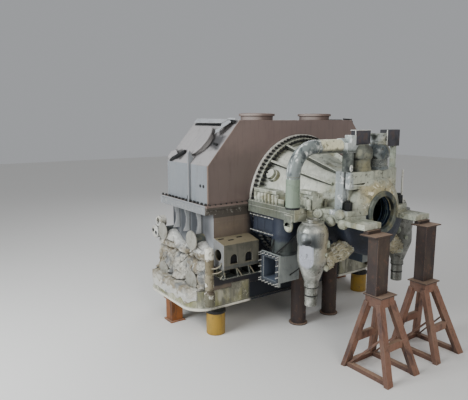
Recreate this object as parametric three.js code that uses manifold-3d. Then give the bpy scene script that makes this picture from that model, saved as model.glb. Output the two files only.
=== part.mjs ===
// Steam turbine casing with its exhaust hood, resting on assembly stands.
// Millimetres, +Z up. The shaft axis runs along Y at the height of the horizontal joint, the high
// pressure end looks towards -Y and the exhaust hood stands at +Y. Everything is the same on the
// left (-X) and on the right (+X), apart from the inlet pipework on top and the chest under it,
// which stand a little to the left.

import * as THREE from 'three';
import { mergeVertices } from 'three/addons/utils/BufferGeometryUtils.js';
import Module from 'manifold-3d';

const wasm = await Module();
wasm.setup();

// General
const GAP = 0.3;                 // clearance between neighbouring pieces
const JOINT_Z = 3550;            // height of the horizontal joint and of the shaft axis
const HOOD_FRONT_Y = 818;        // the front face of the hood, measured from the part's origin
const FAR = 12000;               // larger than the machine, for half spaces
const SIDES = 48;                // facets round the casing

// Exhaust hood
const HOOD_HALF_WIDTH = 3210;
const HOOD_DEPTH = 2250;
const HOOD_WALL = 60;
const HOOD_SHOULDER = 1100;      // height of the upright wall above the joint
const HOOD_ROOF = 2280;          // height of the roof above the joint
const ROOF_HALF_WIDTH = 2190;
const WALL_PLATE_DEPTH = 560;    // thicker plate at the front of each side wall
const WALL_PLATE_THICKNESS = 25;
const SIDE_RIB_FRONT = 880;      // upright rib on each side wall
const SIDE_RIB_WIDTH = 60;
const SIDE_RIB_REACH = 80;
const LOWER_HOOD_HALF_WIDTH = 3050;
const LOWER_HOOD_BOTTOM = 1240;
const JOINT_BAR_HALF_WIDTH = 3310;
const JOINT_BAR_REAR = 2550;
const JOINT_BAR_HEIGHT = 200;
const UPPER_FLANGE_HEIGHT = 50;
const FRONT_FLANGE_REACH = 70;   // of the hood's front flange beyond its front face
const REAR_FLANGE_INNER = 720;   // half the gap in the rear flange, for the rear gland
const KNEE_PLACES = [600, 1240, 1830];
const KNEE_THICKNESS = 50;
const KNEE_TOP_REACH = 200;      // of the knee ribs, from the lower hood's wall
const KNEE_MIDDLE_REACH = 140;
const KNEE_BOTTOM_REACH = 230;
const KNEE_BOTTOM = 2700;
const HOOD_BORE = 1300;          // radius of the opening towards the casing
const REAR_WALL_BORE = 620;      // radius of the hole in the rear wall, under the gland housing
const REAR_BORE = 430;           // radius of the rear shaft opening
const REAR_GLAND_RADIUS = 700;
const REAR_GLAND_LENGTH = 270;

// Condenser neck under the hood
const NECK_HALF_WIDTH = 3680;
const NECK_REAR = 2900;
const NECK_BOTTOM = 700;
const NECK_CORNER = 600;
const NECK_WALL = 50;
const NECK_RIM = 30;
const NECK_RIM_HEIGHT = 70;
const NECK_COVER_INNER = 1860;   // the cover plates on the front of the neck
const NECK_COVER_STEP = 2470;

// Relief valves on the roof and on the sloping sides
const RELIEF_STUB_X = 1150;
const RELIEF_STUB_Y = 600;
const RELIEF_STUB_RADIUS = 470;
const RELIEF_COVER_Y = 1020;
const RELIEF_COVER_SHARE = 0.46; // of the way from the shoulder to the roof edge
const RELIEF_COVER_RADIUS = 500;
const RELIEF_COVER_LIFT = 95;
const RELIEF_COVER_TILT = 8.5;   // degrees, its front edge is raised

// Casing rings and castings, as Y of a face and radius
const RING_RADIUS = 1870;
const RING_FRONT = -80;
const CASING_RING_RADIUS = 1760;
const CASING_RING_FRONT = -200;
const CASING_JOINT_Y = -2440;    // upright joint between the intermediate and the front casing
const FRONT_FACE_Y = -3060;
const BLOCK_FRONT_Y = -2880;
const CHEST_LEFT = -1020;
const CHEST_RIGHT = 720;
const CHEST_BOTTOM = 4180;
const REAR_PLATE_LEFT = -1060;
const REAR_PLATE_RIGHT = 1000;
const REAR_PLATE_FRONT = -2680;
const NECK_PLATE_HALF_WIDTH = 925;
const BLOCK_TOP = 4600;
const SHAFT_BORE = 425;
const COLLAR_RADIUS = 550;
const COLLAR_FRONT = -3120;
const COLLAR_REAR = -3000;
const CASING_FLANGE = 120;       // thickness of the upper joint flange
const WING_FLANGE = 200;         // thickness of the lower joint flange
const LOWER_BARREL = 1150;
const UPPER_BARREL = 930;
const CONE_RIB_ANGLES = [-48, -24.5, 24.5, 48];
const CONE_RIB_THICKNESS = 44;
const CONE_COVER_ANGLES = [-60, 60];
const CONE_COVER_RADIUS = 150;

// Inlet valves and pipes on top
const LEFT_TOWER_X = -450;
const RIGHT_TOWER_X = 210;
const TOWER_Y = -2660;
const TOWER_TOP = 5250;
const CAP_RADIUS = 205;
const PIPE_RADIUS = 165;
const PIPE_WALL = 28;
const PIPE_X = -2510;
const PIPE_Y = -2500;
const PIPE_Z = 5220;
const PIPE_BEND = 650;
const PIPE_END_Z = 3820;
const INLET_BLOCK_X = 1040;
const INLET_BLOCK_FRONT = -2770;
const INLET_BLOCK_BACK = -2560;
const INLET_LEG_X = -885;        // upright leg that carries the inlet block on the chest
const INLET_LEG_RADIUS = 135;
const RIGHT_BLOCK_LEFT = 650;
const RIGHT_BLOCK_RIGHT = 1170;
const RIGHT_BLOCK_BOTTOM = 5160;
const RIGHT_BLOCK_TOP = 5590;
const DROP_PIPE_X = 1090;
const DROP_PIPE_RADIUS = 80;

// Stop valves and extraction pieces below the joint
const STOP_VALVE_X = 1700;
const STOP_VALVE_Y = -2350;
const VALVE_FACET_X = -325;      // flat on the outer side of each stop valve
const VALVE_FACET_BOTTOM = 1900;
const VALVE_FACET_TOP = 2960;
const DRUM_X = 1560;
const DRUM_Y = -1150;
const DRUM_RADIUS = 340;
const DRUM_BOTTOM = 2330;
const BRANCH_RADIUS = 200;
const DUCT_BOTTOM = 1630;

// Wrapped pipe connections on the sides of the lower hood
const WRAPPING_FACE = -3330;
const STUB_REACH = 120;          // of the blanked stubs beyond the wrapping
const CORNER_PIPE_ANGLE = 15;    // degrees round the corner of the neck
const CORNER_PIPE_RADIUS = 122;
const CORNER_SLEEVE_RADIUS = 150;
const CORNER_PIPE_TOP = 2500;

// Feet on the front of the lower hood and the girders under them
const FOOT_OUTER = 3050;
const FOOT_INNER = 1890;
const FOOT_FRONT = -485;
const FOOT_BOTTOM = 1930;
const FOOT_WALL = 40;
const ARCH_HALF_WIDTH = 115;
const ARCH_HEIGHT = 265;
const ARCH_BOTTOM = 2060;
const ARCH_PLACES = [-2720, -2230];
const GIRDER_BOTTOM = 1670;
const GIRDER_INNER = 1650;

// Stands
const COLUMN_X = 860;
const COLUMN_Y = -3770;
const COLUMN_TOP = 3250;
const COLUMN_SHIFT = [-60, 50];  // of the left column's shaft from the middle of its trestle
const PAW_INNER = 660;
const PAW_OUTER = 1260;
const PAW_TIP_Y = -3560;
const SHIM_TOP = 3330;           // the casing's paws rest on shims on the columns
const PAW_TOP = 3470;
const TRESTLE_TOP = 1800;
const TRESTLE_HEAD = 1560;       // underside of the trestle's head
const HOOD_POST_X = 2960;
const HOOD_POST_Y = 60;
const HOOD_POST_RADIUS = 260;
const REAR_STAND_X = 3480;
const REAR_STAND_Y = 1500;
const MIDDLE_POST_X = 630;
const MIDDLE_POST_Y = -770;
const MIDDLE_POST_RADIUS = 220;
const MIDDLE_PAD_BOTTOM = 2030;

const materials = {
  hoodPaint: paint(0x5f5552, 0.55),
  neckPaint: paint(0xd0ccb8, 0.7),
  castingPaint: paint(0xa9ac98, 0.45),
  darkCasting: paint(0x4b4a55, 0.6),
  valvePaint: paint(0xc2c0b6, 0.4),
  lagging: paint(0x9a8a5e, 0.95),
  wrapping: paint(0xd6d2c4, 0.8),
  steel: new THREE.MeshStandardMaterial({ color: 0x8e8c84, roughness: 0.4, metalness: 0.8 }),
  primer: paint(0x5a4038, 0.7),
  trestlePrimer: paint(0x7d5148, 0.75),
  postPaint: paint(0xbf9a32, 0.6),
};

function paint(color, roughness) {
  return new THREE.MeshStandardMaterial({ color, roughness, metalness: 0.1 });
}

// Solids from geometries and back

function toSolid(geometry) {
  const bare = geometry.clone();
  bare.deleteAttribute('normal');
  bare.deleteAttribute('uv');
  const merged = mergeVertices(bare, 0.01);
  const points = merged.attributes.position.array;
  const corners = merged.index.array;
  const triangles = [];
  let volume = 0;
  for (let i = 0; i < corners.length; i += 3) {
    const [a, b, c] = [corners[i], corners[i + 1], corners[i + 2]];
    if (a === b || b === c || a === c) continue;
    triangles.push(a, b, c);
    const [pa, pb, pc] = [a, b, c].map((k) => new THREE.Vector3().fromArray(points, 3 * k));
    volume += pa.dot(pb.cross(pc));
  }
  if (volume < 0) triangles.reverse();
  return new wasm.Manifold(new wasm.Mesh({
    numProp: 3,
    vertProperties: new Float32Array(points),
    triVerts: new Uint32Array(triangles),
  }));
}

function toGeometry(solid) {
  const mesh = solid.getMesh();
  const geometry = new THREE.BufferGeometry();
  geometry.setAttribute('position', new THREE.BufferAttribute(mesh.vertProperties, 3));
  geometry.setIndex(new THREE.BufferAttribute(mesh.triVerts, 1));
  geometry.computeVertexNormals();
  return geometry;
}

function join(...geometries) {
  return toGeometry(geometries.map(toSolid).reduce((sum, next) => sum.add(next)));
}

function cut(base, ...tools) {
  return toGeometry(tools.map(toSolid).reduce((rest, tool) => rest.subtract(tool), toSolid(base)));
}

function common(first, second) {
  return toGeometry(toSolid(first).intersect(toSolid(second)));
}

// Shapes

function block(x, y, z) {
  const box = new THREE.BoxGeometry(x[1] - x[0], y[1] - y[0], z[1] - z[0]);
  return box.translate((x[0] + x[1]) / 2, (y[0] + y[1]) / 2, (z[0] + z[1]) / 2);
}

function shapeOf(points) {
  return new THREE.Shape(points.map(([u, v]) => new THREE.Vector2(u, v)));
}

function extruded(shape, depth) {
  return new THREE.ExtrudeGeometry(shape, { depth, bevelEnabled: false, curveSegments: 6 });
}

// outline in X and Z, running along Y
function alongY(points, y0, y1) {
  return extruded(shapeOf(points), y1 - y0).rotateX(Math.PI / 2).translate(0, y1, 0);
}

// outline in X and Y, running along Z
function alongZ(points, z0, z1) {
  return extruded(shapeOf(points), z1 - z0).translate(0, 0, z0);
}

// outline in Y and Z, running along X
function alongX(points, x0, x1) {
  const turn = new THREE.Matrix4().set(0, 0, 1, x0, 1, 0, 0, 0, 0, 1, 0, 0, 0, 0, 0, 1);
  return extruded(shapeOf(points), x1 - x0).applyMatrix4(turn);
}

function drumX(radius, x0, x1, y, z, sides = 32) {
  const drum = new THREE.CylinderGeometry(radius, radius, x1 - x0, sides).rotateZ(Math.PI / 2);
  return drum.translate((x0 + x1) / 2, y, z);
}

function drumY(radius, y0, y1, x, z, sides = 32) {
  const drum = new THREE.CylinderGeometry(radius, radius, y1 - y0, sides);
  return drum.translate(x, (y0 + y1) / 2, z);
}

function drumZ(radius, z0, z1, x, y, sides = 32) {
  const drum = new THREE.CylinderGeometry(radius, radius, z1 - z0, sides).rotateX(Math.PI / 2);
  return drum.translate(x, y, (z0 + z1) / 2);
}

// profile of radius and Y, turned round the shaft axis
function turnedY(profile, sides = SIDES) {
  const points = profile.map(([radius, y]) => new THREE.Vector2(radius, y));
  return new THREE.LatheGeometry(points, sides).translate(0, 0, JOINT_Z);
}

// profile of radius and Z, turned round an upright axis through the origin
function turnedZ(profile, sides = 24) {
  const points = profile.map(([radius, z]) => new THREE.Vector2(radius, z));
  return new THREE.LatheGeometry(points, sides).rotateX(Math.PI / 2);
}

// square bar between two points, its sides turned level
function bar(from, to, width, depth) {
  const start = new THREE.Vector3(...from);
  const along = new THREE.Vector3(...to).sub(start);
  const box = new THREE.BoxGeometry(width, depth, along.length());
  const zAxis = along.clone().normalize();
  const yAxis = new THREE.Vector3(0, 1, 0).addScaledVector(zAxis, -zAxis.y).normalize();
  const xAxis = new THREE.Vector3().crossVectors(yAxis, zAxis);
  const middle = start.addScaledVector(along, 0.5);
  return box.applyMatrix4(new THREE.Matrix4().makeBasis(xAxis, yAxis, zAxis).setPosition(middle));
}

function above(z) {
  return block([-FAR, FAR], [-FAR, FAR], [z, FAR]);
}

function below(z) {
  return block([-FAR, FAR], [-FAR, FAR], [-FAR, z]);
}

function bothSides(geometry) {
  return join(geometry, mirrored(geometry));
}

function mirrored(geometry) {
  return geometry.clone().applyMatrix4(new THREE.Matrix4().makeScale(-1, 1, 1));
}

function mirrorOutline(points) {
  return [...points, ...points.map(([x, y]) => [-x, y]).reverse()];
}

// Exhaust hood

function hoodOutline(inset, bottom) {
  const slope = Math.atan2(HOOD_HALF_WIDTH - ROOF_HALF_WIDTH, HOOD_ROOF - HOOD_SHOULDER);
  const wall = HOOD_HALF_WIDTH - inset;
  const shoulder = JOINT_Z + HOOD_SHOULDER - inset * Math.tan(slope / 2);
  const roofEdge = ROOF_HALF_WIDTH - inset * Math.tan((Math.PI / 2 - slope) / 2);
  const roof = JOINT_Z + HOOD_ROOF - inset;
  return mirrorOutline([[wall, bottom], [wall, shoulder], [roofEdge, roof]]);
}

function shaftHoles() {
  return [
    drumY(HOOD_BORE, -100, HOOD_WALL + 100, 0, JOINT_Z, SIDES),
    drumY(REAR_WALL_BORE, HOOD_DEPTH - HOOD_WALL - 100, HOOD_DEPTH + 100, 0, JOINT_Z, 32),
  ];
}

function rearBar(halfWidth, bottom, top) {
  return bothSides(block([REAR_FLANGE_INNER, halfWidth], [HOOD_DEPTH - 10, JOINT_BAR_REAR],
    [bottom, top]));
}

function upperHood() {
  const flangeTop = JOINT_Z + UPPER_FLANGE_HEIGHT;
  const edge = JOINT_BAR_HALF_WIDTH - 10;
  const shell = alongY(hoodOutline(0, JOINT_Z), 0, HOOD_DEPTH);
  const inside = alongY(hoodOutline(HOOD_WALL, JOINT_Z - 10), HOOD_WALL, HOOD_DEPTH - HOOD_WALL);
  const sideFlange = block([HOOD_HALF_WIDTH - 20, edge], [0, JOINT_BAR_REAR], [JOINT_Z, flangeTop]);
  const frontFlange = block([RING_RADIUS + 20, edge], [-FRONT_FLANGE_REACH, 10],
    [JOINT_Z, flangeTop]);
  const plateFace = HOOD_HALF_WIDTH + WALL_PLATE_THICKNESS;
  const wallPlate = block([HOOD_HALF_WIDTH - 20, plateFace], [0, WALL_PLATE_DEPTH],
    [flangeTop - 10, JOINT_Z + HOOD_SHOULDER]);
  const ribFace = HOOD_HALF_WIDTH + SIDE_RIB_REACH;
  const rib = alongY([
    [HOOD_HALF_WIDTH - 30, JOINT_Z + 10],
    [ribFace, JOINT_Z + 10],
    [ribFace, JOINT_Z + 1380],
    [ribFace - 55, JOINT_Z + 1490],
    [HOOD_HALF_WIDTH - 110, JOINT_Z + 1180],
  ], SIDE_RIB_FRONT, SIDE_RIB_FRONT + SIDE_RIB_WIDTH);
  const added = bothSides(join(sideFlange, frontFlange, wallPlate, rib));
  const body = join(shell, added, rearBar(edge, JOINT_Z, flangeTop));
  return cut(body, inside, ...shaftHoles());
}

// rib that carries the joint bar, hollowed between the bar and the wrapping
function kneeRib(y) {
  const wall = LOWER_HOOD_HALF_WIDTH;
  const top = JOINT_Z - JOINT_BAR_HEIGHT + 10;
  return alongY([
    [wall - 20, top],
    [wall + KNEE_TOP_REACH, top],
    [wall + KNEE_TOP_REACH - 25, 3250],
    [wall + KNEE_MIDDLE_REACH, 3120],
    [wall + KNEE_MIDDLE_REACH, 2970],
    [wall + KNEE_MIDDLE_REACH + 30, 2850],
    [wall + KNEE_BOTTOM_REACH, KNEE_BOTTOM + 30],
    [wall + KNEE_BOTTOM_REACH, KNEE_BOTTOM],
    [wall - 20, KNEE_BOTTOM],
  ], y - KNEE_THICKNESS / 2, y + KNEE_THICKNESS / 2);
}

function lowerHood() {
  const top = JOINT_Z - GAP;
  const half = LOWER_HOOD_HALF_WIDTH;
  const shell = block([-half, half], [0, HOOD_DEPTH], [LOWER_HOOD_BOTTOM, top]);
  const barBottom = JOINT_Z - JOINT_BAR_HEIGHT;
  const sideBar = block([half - 20, JOINT_BAR_HALF_WIDTH], [0, JOINT_BAR_REAR], [barBottom, top]);
  const frontFlange = block([RING_RADIUS + 20, JOINT_BAR_HALF_WIDTH], [-FRONT_FLANGE_REACH, 10],
    [JOINT_Z - 60, top]);
  const added = bothSides(join(sideBar, frontFlange, ...KNEE_PLACES.map(kneeRib)));
  const inside = block([-half + HOOD_WALL, half - HOOD_WALL], [HOOD_WALL, HOOD_DEPTH - HOOD_WALL],
    [LOWER_HOOD_BOTTOM - 10, JOINT_Z + 10]);
  const body = join(shell, added, rearBar(JOINT_BAR_HALF_WIDTH, barBottom, top));
  return cut(body, inside, ...shaftHoles());
}

function roundedPlan(grow) {
  const x = NECK_HALF_WIDTH + grow;
  const [y0, y1] = [-grow, NECK_REAR + grow];
  const r = NECK_CORNER + grow;
  const shape = new THREE.Shape();
  shape.moveTo(-x + r, y0).lineTo(x - r, y0);
  shape.absarc(x - r, y0 + r, r, -Math.PI / 2, 0, false);
  shape.absarc(x - r, y1 - r, r, 0, Math.PI / 2, false);
  shape.absarc(-x + r, y1 - r, r, Math.PI / 2, Math.PI, false);
  shape.absarc(-x + r, y0 + r, r, Math.PI, 1.5 * Math.PI, false);
  return shape;
}

function exhaustNeck() {
  const top = LOWER_HOOD_BOTTOM - GAP;
  const height = top - NECK_BOTTOM;
  const outside = extruded(roundedPlan(0), height).translate(0, 0, NECK_BOTTOM);
  const rim = extruded(roundedPlan(NECK_RIM), NECK_RIM_HEIGHT).translate(0, 0, NECK_BOTTOM);
  const inside = extruded(roundedPlan(-NECK_WALL), height).translate(0, 0, NECK_BOTTOM - 60);
  const throat = block([-LOWER_HOOD_HALF_WIDTH + HOOD_WALL, LOWER_HOOD_HALF_WIDTH - HOOD_WALL],
    [HOOD_WALL, HOOD_DEPTH - HOOD_WALL], [NECK_BOTTOM - 60, top + 60]);
  return cut(join(outside, rim), inside, throat);
}

function neckCover() {
  const outer = NECK_HALF_WIDTH - NECK_CORNER;
  const [bottom, middle, top] = [780, 1230, 1350];
  const outline = [[outer, bottom], [outer, middle], [NECK_COVER_STEP, middle],
    [NECK_COVER_STEP, top], [NECK_COVER_INNER, top], [NECK_COVER_INNER, bottom]];
  return alongY(outline, -NECK_RIM, -GAP);
}

// blanked disc that leans on its short neck
function reliefCover() {
  const tilt = THREE.MathUtils.degToRad(RELIEF_COVER_TILT);
  const r = RELIEF_COVER_RADIUS;
  const neck = turnedZ([[0, 0], [0.78 * r, 0], [0.7 * r, RELIEF_COVER_LIFT + 10],
    [0, RELIEF_COVER_LIFT + 10]], 32);
  const lid = turnedZ([[0, 0], [r, 0], [r, 30], [0, 38]], 32).rotateX(-tilt);
  return join(neck, lid.translate(0, 0, RELIEF_COVER_LIFT));
}

function reliefStub() {
  const r = RELIEF_STUB_RADIUS;
  return turnedZ([[0, 0], [r, 0], [r, 120], [r + 55, 120], [r + 55, 185], [0, 200]], 32);
}

function rearGland() {
  const y = HOOD_DEPTH + GAP;
  const end = y + REAR_GLAND_LENGTH;
  return turnedY([[REAR_BORE, y], [REAR_GLAND_RADIUS, y], [REAR_GLAND_RADIUS, y + 60],
    [570, y + 70], [530, end], [REAR_BORE, end], [REAR_BORE, y]], 40);
}

// Casing

function casingRing() {
  return turnedY([[HOOD_BORE, -GAP], [HOOD_BORE, RING_FRONT], [RING_RADIUS, RING_FRONT],
    [RING_RADIUS, -GAP], [HOOD_BORE, -GAP]], 60);
}

const casingRear = RING_FRONT - GAP;
const casingEnd = CASING_JOINT_Y + GAP;
const conePoints = [[1600, CASING_RING_FRONT], [1540, -420], [1290, -1000], [1080, -1500],
  [950, -2000]];
const boreProfile = [[0, casingRear + 10], [HOOD_BORE, casingRear + 10], [HOOD_BORE, -300],
  [1150, -900], [930, -1500], [800, -2000], [760, -2350], [700, BLOCK_FRONT_Y],
  [SHAFT_BORE, BLOCK_FRONT_Y], [SHAFT_BORE, COLLAR_REAR], [COLLAR_RADIUS + GAP, COLLAR_REAR],
  [COLLAR_RADIUS + GAP, FRONT_FACE_Y - 50], [0, FRONT_FACE_Y - 50]];

function coneSolid(grow, barrel) {
  const profile = [[0, casingRear], [CASING_RING_RADIUS, casingRear],
    [CASING_RING_RADIUS, CASING_RING_FRONT]];
  conePoints.forEach(([radius, y]) => profile.push([radius + grow, y]));
  profile.push([barrel + grow, -2200], [barrel + grow, casingEnd], [0, casingEnd]);
  return turnedY(profile);
}

// long stiffening rib in a plane through the shaft axis, angle from upright
function coneRib(angle) {
  const half = CONE_RIB_THICKNESS / 2;
  const rib = alongX([[CASING_RING_FRONT + 20, 1500], [CASING_RING_FRONT + 20, 1700],
    [-260, 1760], [-2050, 1030], [-2050, 880]], -half, half);
  return rib.rotateY(angle).translate(0, 0, JOINT_Z);
}

function coneRibs(turn) {
  return CONE_RIB_ANGLES.map((angle) => coneRib(THREE.MathUtils.degToRad(angle + turn)));
}

const wingOutline = [[0, casingRear], [1960, casingRear], [1980, -400], [1980, -2000],
  [1560, -2000], [1250, casingEnd], [0, casingEnd]];
const noseOutline = [[0, CASING_JOINT_Y - GAP], [1250, CASING_JOINT_Y - GAP], [1150, -2950],
  [720, FRONT_FACE_Y], [0, FRONT_FACE_Y]];

function flangePlate(outline, z0, z1) {
  const points = outline.slice(1, -1);
  return alongZ([...points, ...points.map(([x, y]) => [-x, y]).reverse()], z0, z1);
}

function upperIntermediateCasing() {
  const flange = flangePlate(wingOutline, JOINT_Z, JOINT_Z + CASING_FLANGE);
  const covers = CONE_COVER_ANGLES.map((angle) => drumZ(CONE_COVER_RADIUS, 1400, 1690, 0, -400, 24)
    .rotateY(THREE.MathUtils.degToRad(angle)).translate(0, 0, JOINT_Z));
  const body = join(coneSolid(0, UPPER_BARREL + 10), flange, ...coneRibs(0), ...covers);
  return common(cut(body, turnedY(boreProfile)), above(JOINT_Z));
}

function lowerIntermediateCasing() {
  const flange = flangePlate(wingOutline, JOINT_Z - WING_FLANGE, JOINT_Z);
  const pad = block([MIDDLE_POST_X - 250, MIDDLE_POST_X + 250],
    [MIDDLE_POST_Y - 250, MIDDLE_POST_Y + 250], [MIDDLE_PAD_BOTTOM, 2700]);
  const [lugInner, lugOuter, lugEye] = [1930, 1980, 3200];
  const lug = join(block([lugInner, lugOuter], [-1900, -1620], [lugEye, JOINT_Z - 50]),
    drumX(140, lugInner, lugOuter, -1760, lugEye, 24));
  const body = join(coneSolid(0, LOWER_BARREL), flange, ...coneRibs(180),
    bothSides(pad), bothSides(lug));
  return common(cut(body, turnedY(boreProfile)), below(JOINT_Z - GAP));
}

function noseSolid(barrel) {
  return turnedY([[0, CASING_JOINT_Y - GAP], [barrel, CASING_JOINT_Y - GAP], [barrel, -2820],
    [0.93 * barrel, -2900], [0.82 * barrel, -2960], [0.72 * barrel, -3010], [640, FRONT_FACE_Y],
    [0, FRONT_FACE_Y]]);
}

function upperFrontCasing() {
  const rearPlate = block([REAR_PLATE_LEFT, REAR_PLATE_RIGHT],
    [REAR_PLATE_FRONT, CASING_JOINT_Y - GAP], [JOINT_Z, BLOCK_TOP]);
  const neckPlate = block([-NECK_PLATE_HALF_WIDTH, NECK_PLATE_HALF_WIDTH],
    [REAR_PLATE_FRONT - 45, REAR_PLATE_FRONT + 10], [JOINT_Z, BLOCK_TOP - 30]);
  const chest = block([CHEST_LEFT, CHEST_RIGHT], [BLOCK_FRONT_Y, REAR_PLATE_FRONT - 40],
    [CHEST_BOTTOM, BLOCK_TOP]);
  const flange = flangePlate(noseOutline, JOINT_Z, JOINT_Z + CASING_FLANGE);
  const body = join(noseSolid(UPPER_BARREL), rearPlate, neckPlate, chest, flange);
  return common(cut(body, turnedY(boreProfile)), above(JOINT_Z));
}

function lowerFrontCasing() {
  const flange = flangePlate(noseOutline, JOINT_Z - WING_FLANGE, JOINT_Z);
  const paw = block([PAW_INNER, PAW_OUTER], [PAW_TIP_Y, -2850], [SHIM_TOP + GAP, PAW_TOP]);
  const body = join(noseSolid(LOWER_BARREL), flange, bothSides(paw));
  return common(cut(body, turnedY(boreProfile)), below(JOINT_Z - GAP));
}

function glandCollar() {
  return turnedY([[SHAFT_BORE, COLLAR_REAR - GAP], [COLLAR_RADIUS, COLLAR_REAR - GAP],
    [COLLAR_RADIUS, COLLAR_FRONT + 20], [COLLAR_RADIUS - 20, COLLAR_FRONT],
    [SHAFT_BORE, COLLAR_FRONT], [SHAFT_BORE, COLLAR_REAR - GAP]]);
}

// Inlet valves and pipes

const towerHeight = TOWER_TOP - BLOCK_TOP;

function towerProfile(grow, top) {
  const outside = [[280, 0], [280, 90], [262, 105], [262, 270], [298, 320], [305, 430],
    [295, 520], [240, 600], [CAP_RADIUS, towerHeight - 20], [CAP_RADIUS, top]];
  return [[0, 0], ...outside.map(([radius, z]) => [radius + grow, z]), [0, top]];
}

function valveTower() {
  return turnedZ(towerProfile(0, towerHeight));
}

// room for a tower and the cap on it, in a piece that meets them from the side
function towerRoom(x) {
  return turnedZ(towerProfile(GAP, towerHeight + 400)).translate(x, TOWER_Y, BLOCK_TOP + GAP);
}

function valveBox() {
  return block([-280, 280], [-70, 70], [0, 345]);
}

function valveCap() {
  const r = CAP_RADIUS;
  return turnedZ([[0, 0], [r, 0], [r, 60], [r - 25, 80], [r - 10, 190], [r, 260], [0, 260]]);
}

function inletBlock() {
  const [front, back] = [INLET_BLOCK_FRONT, INLET_BLOCK_BACK];
  const face = LEFT_TOWER_X - 290;
  const wide = block([-INLET_BLOCK_X, face], [front, back], [5060, 5300]);
  const high = block([-INLET_BLOCK_X + 130, face], [front, back], [5290, 5480]);
  const nozzle = block([face - 10, LEFT_TOWER_X - 150], [front + 10, back - 10], [5080, 5230]);
  const socket = drumX(PIPE_RADIUS + 20, -INLET_BLOCK_X, -900, PIPE_Y, PIPE_Z, 24);
  const bridge = block([-INLET_BLOCK_X, -900], [-2600, PIPE_Y], [5100, 5340]);
  const leg = drumZ(INLET_LEG_RADIUS, BLOCK_TOP + GAP, 5070, INLET_LEG_X, TOWER_Y, 24);
  return cut(join(wide, high, nozzle, socket, bridge, leg), towerRoom(LEFT_TOWER_X));
}

function rightInletBlock() {
  return cut(block([RIGHT_BLOCK_LEFT, RIGHT_BLOCK_RIGHT], [-2600, -2360],
    [RIGHT_BLOCK_BOTTOM, RIGHT_BLOCK_TOP]), towerRoom(RIGHT_TOWER_X));
}

function dropPipe() {
  return drumZ(DROP_PIPE_RADIUS, JOINT_Z + CASING_FLANGE + GAP, RIGHT_BLOCK_BOTTOM - GAP,
    DROP_PIPE_X, -2470, 20);
}

class ElbowPath extends THREE.Curve {
  constructor() {
    super();
    this.rise = PIPE_Z - PIPE_BEND - PIPE_END_Z;
    this.turn = PIPE_BEND * Math.PI / 2;
    this.run = -INLET_BLOCK_X - GAP - (PIPE_X + PIPE_BEND);
    this.total = this.rise + this.turn + this.run;
  }

  getPoint(t, target = new THREE.Vector3()) {
    const s = t * this.total;
    if (s < this.rise) return target.set(PIPE_X, PIPE_Y, PIPE_END_Z + s);
    if (s > this.rise + this.turn) {
      return target.set(PIPE_X + PIPE_BEND + s - this.rise - this.turn, PIPE_Y, PIPE_Z);
    }
    const angle = (s - this.rise) / PIPE_BEND;
    return target.set(PIPE_X + PIPE_BEND * (1 - Math.cos(angle)), PIPE_Y,
      PIPE_Z - PIPE_BEND + PIPE_BEND * Math.sin(angle));
  }
}

function elbowPipe() {
  const ring = new THREE.Shape().absarc(0, 0, PIPE_RADIUS, 0, 2 * Math.PI, false);
  ring.holes.push(new THREE.Path().absarc(0, 0, PIPE_RADIUS - PIPE_WALL, 0, 2 * Math.PI, true));
  return new THREE.ExtrudeGeometry(ring, {
    extrudePath: new ElbowPath(), steps: 14, curveSegments: 5, bevelEnabled: false,
  });
}

// Below the joint

function stopValveProfile(grow) {
  const outside = [[155, 1290], [155, 1760], [178, 1775], [178, 1850], [170, 1870], [330, 2330],
    [362, 2450], [365, 2880], [385, 3120], [365, 3230], [320, 3310], [262, 3350], [270, 3400]];
  return outside.map(([radius, z]) => [radius + grow, z]);
}

function stopValve() {
  const mouth = [[165, 3410], [165, 3470], [130, 3470], [130, 3200], [0, 3200]];
  const body = turnedZ([[0, 1290], ...stopValveProfile(0), ...mouth]);
  const facet = block([-FAR, VALVE_FACET_X], [-FAR, FAR],
    [VALVE_FACET_BOTTOM, VALVE_FACET_TOP]);
  return cut(body, facet);
}

function laggedBranch() {
  const valve = turnedZ([[0, 1290], ...stopValveProfile(GAP), [0, 3400]])
    .translate(-STOP_VALVE_X, STOP_VALVE_Y, 0);
  const barrel = drumY(LOWER_BARREL + GAP, -2900, -1900, 0, JOINT_Z, SIDES);
  const pipe = new THREE.CylinderGeometry(BRANCH_RADIUS, BRANCH_RADIUS, 1000, 24);
  const from = new THREE.Vector3(-STOP_VALVE_X, STOP_VALVE_Y, 2450);
  const to = new THREE.Vector3(-700, TOWER_Y, 2760);
  const aim = new THREE.Quaternion().setFromUnitVectors(new THREE.Vector3(0, 1, 0),
    to.clone().sub(from).normalize());
  pipe.applyQuaternion(aim).translate(...from.clone().add(to).multiplyScalar(0.5).toArray());
  return cut(pipe, valve, barrel);
}

function extractionNozzle() {
  const drum = drumZ(DRUM_RADIUS, DRUM_BOTTOM, JOINT_Z - WING_FLANGE - GAP, -DRUM_X, DRUM_Y, 32);
  return cut(drum, coneSolid(GAP, LOWER_BARREL));
}

function extractionDuct() {
  const body = block([-2000, -1280], [-1460, -850], [DUCT_BOTTOM, DRUM_BOTTOM - GAP]);
  const flange = block([-2060, -1990], [-1530, -780], [DUCT_BOTTOM - 70, DRUM_BOTTOM + 70]);
  const inside = block([-2100, -1400], [-1400, -910], [DUCT_BOTTOM + 60, DRUM_BOTTOM - 60]);
  return cut(join(body, flange), inside);
}

function archHole(x) {
  const [y0, y1] = [FOOT_FRONT - 100, FOOT_FRONT + 100];
  const spring = ARCH_BOTTOM + ARCH_HEIGHT - ARCH_HALF_WIDTH;
  return join(block([x - ARCH_HALF_WIDTH, x + ARCH_HALF_WIDTH], [y0, y1], [ARCH_BOTTOM, spring]),
    drumY(ARCH_HALF_WIDTH, y0, y1, x, spring, 20));
}

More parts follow.
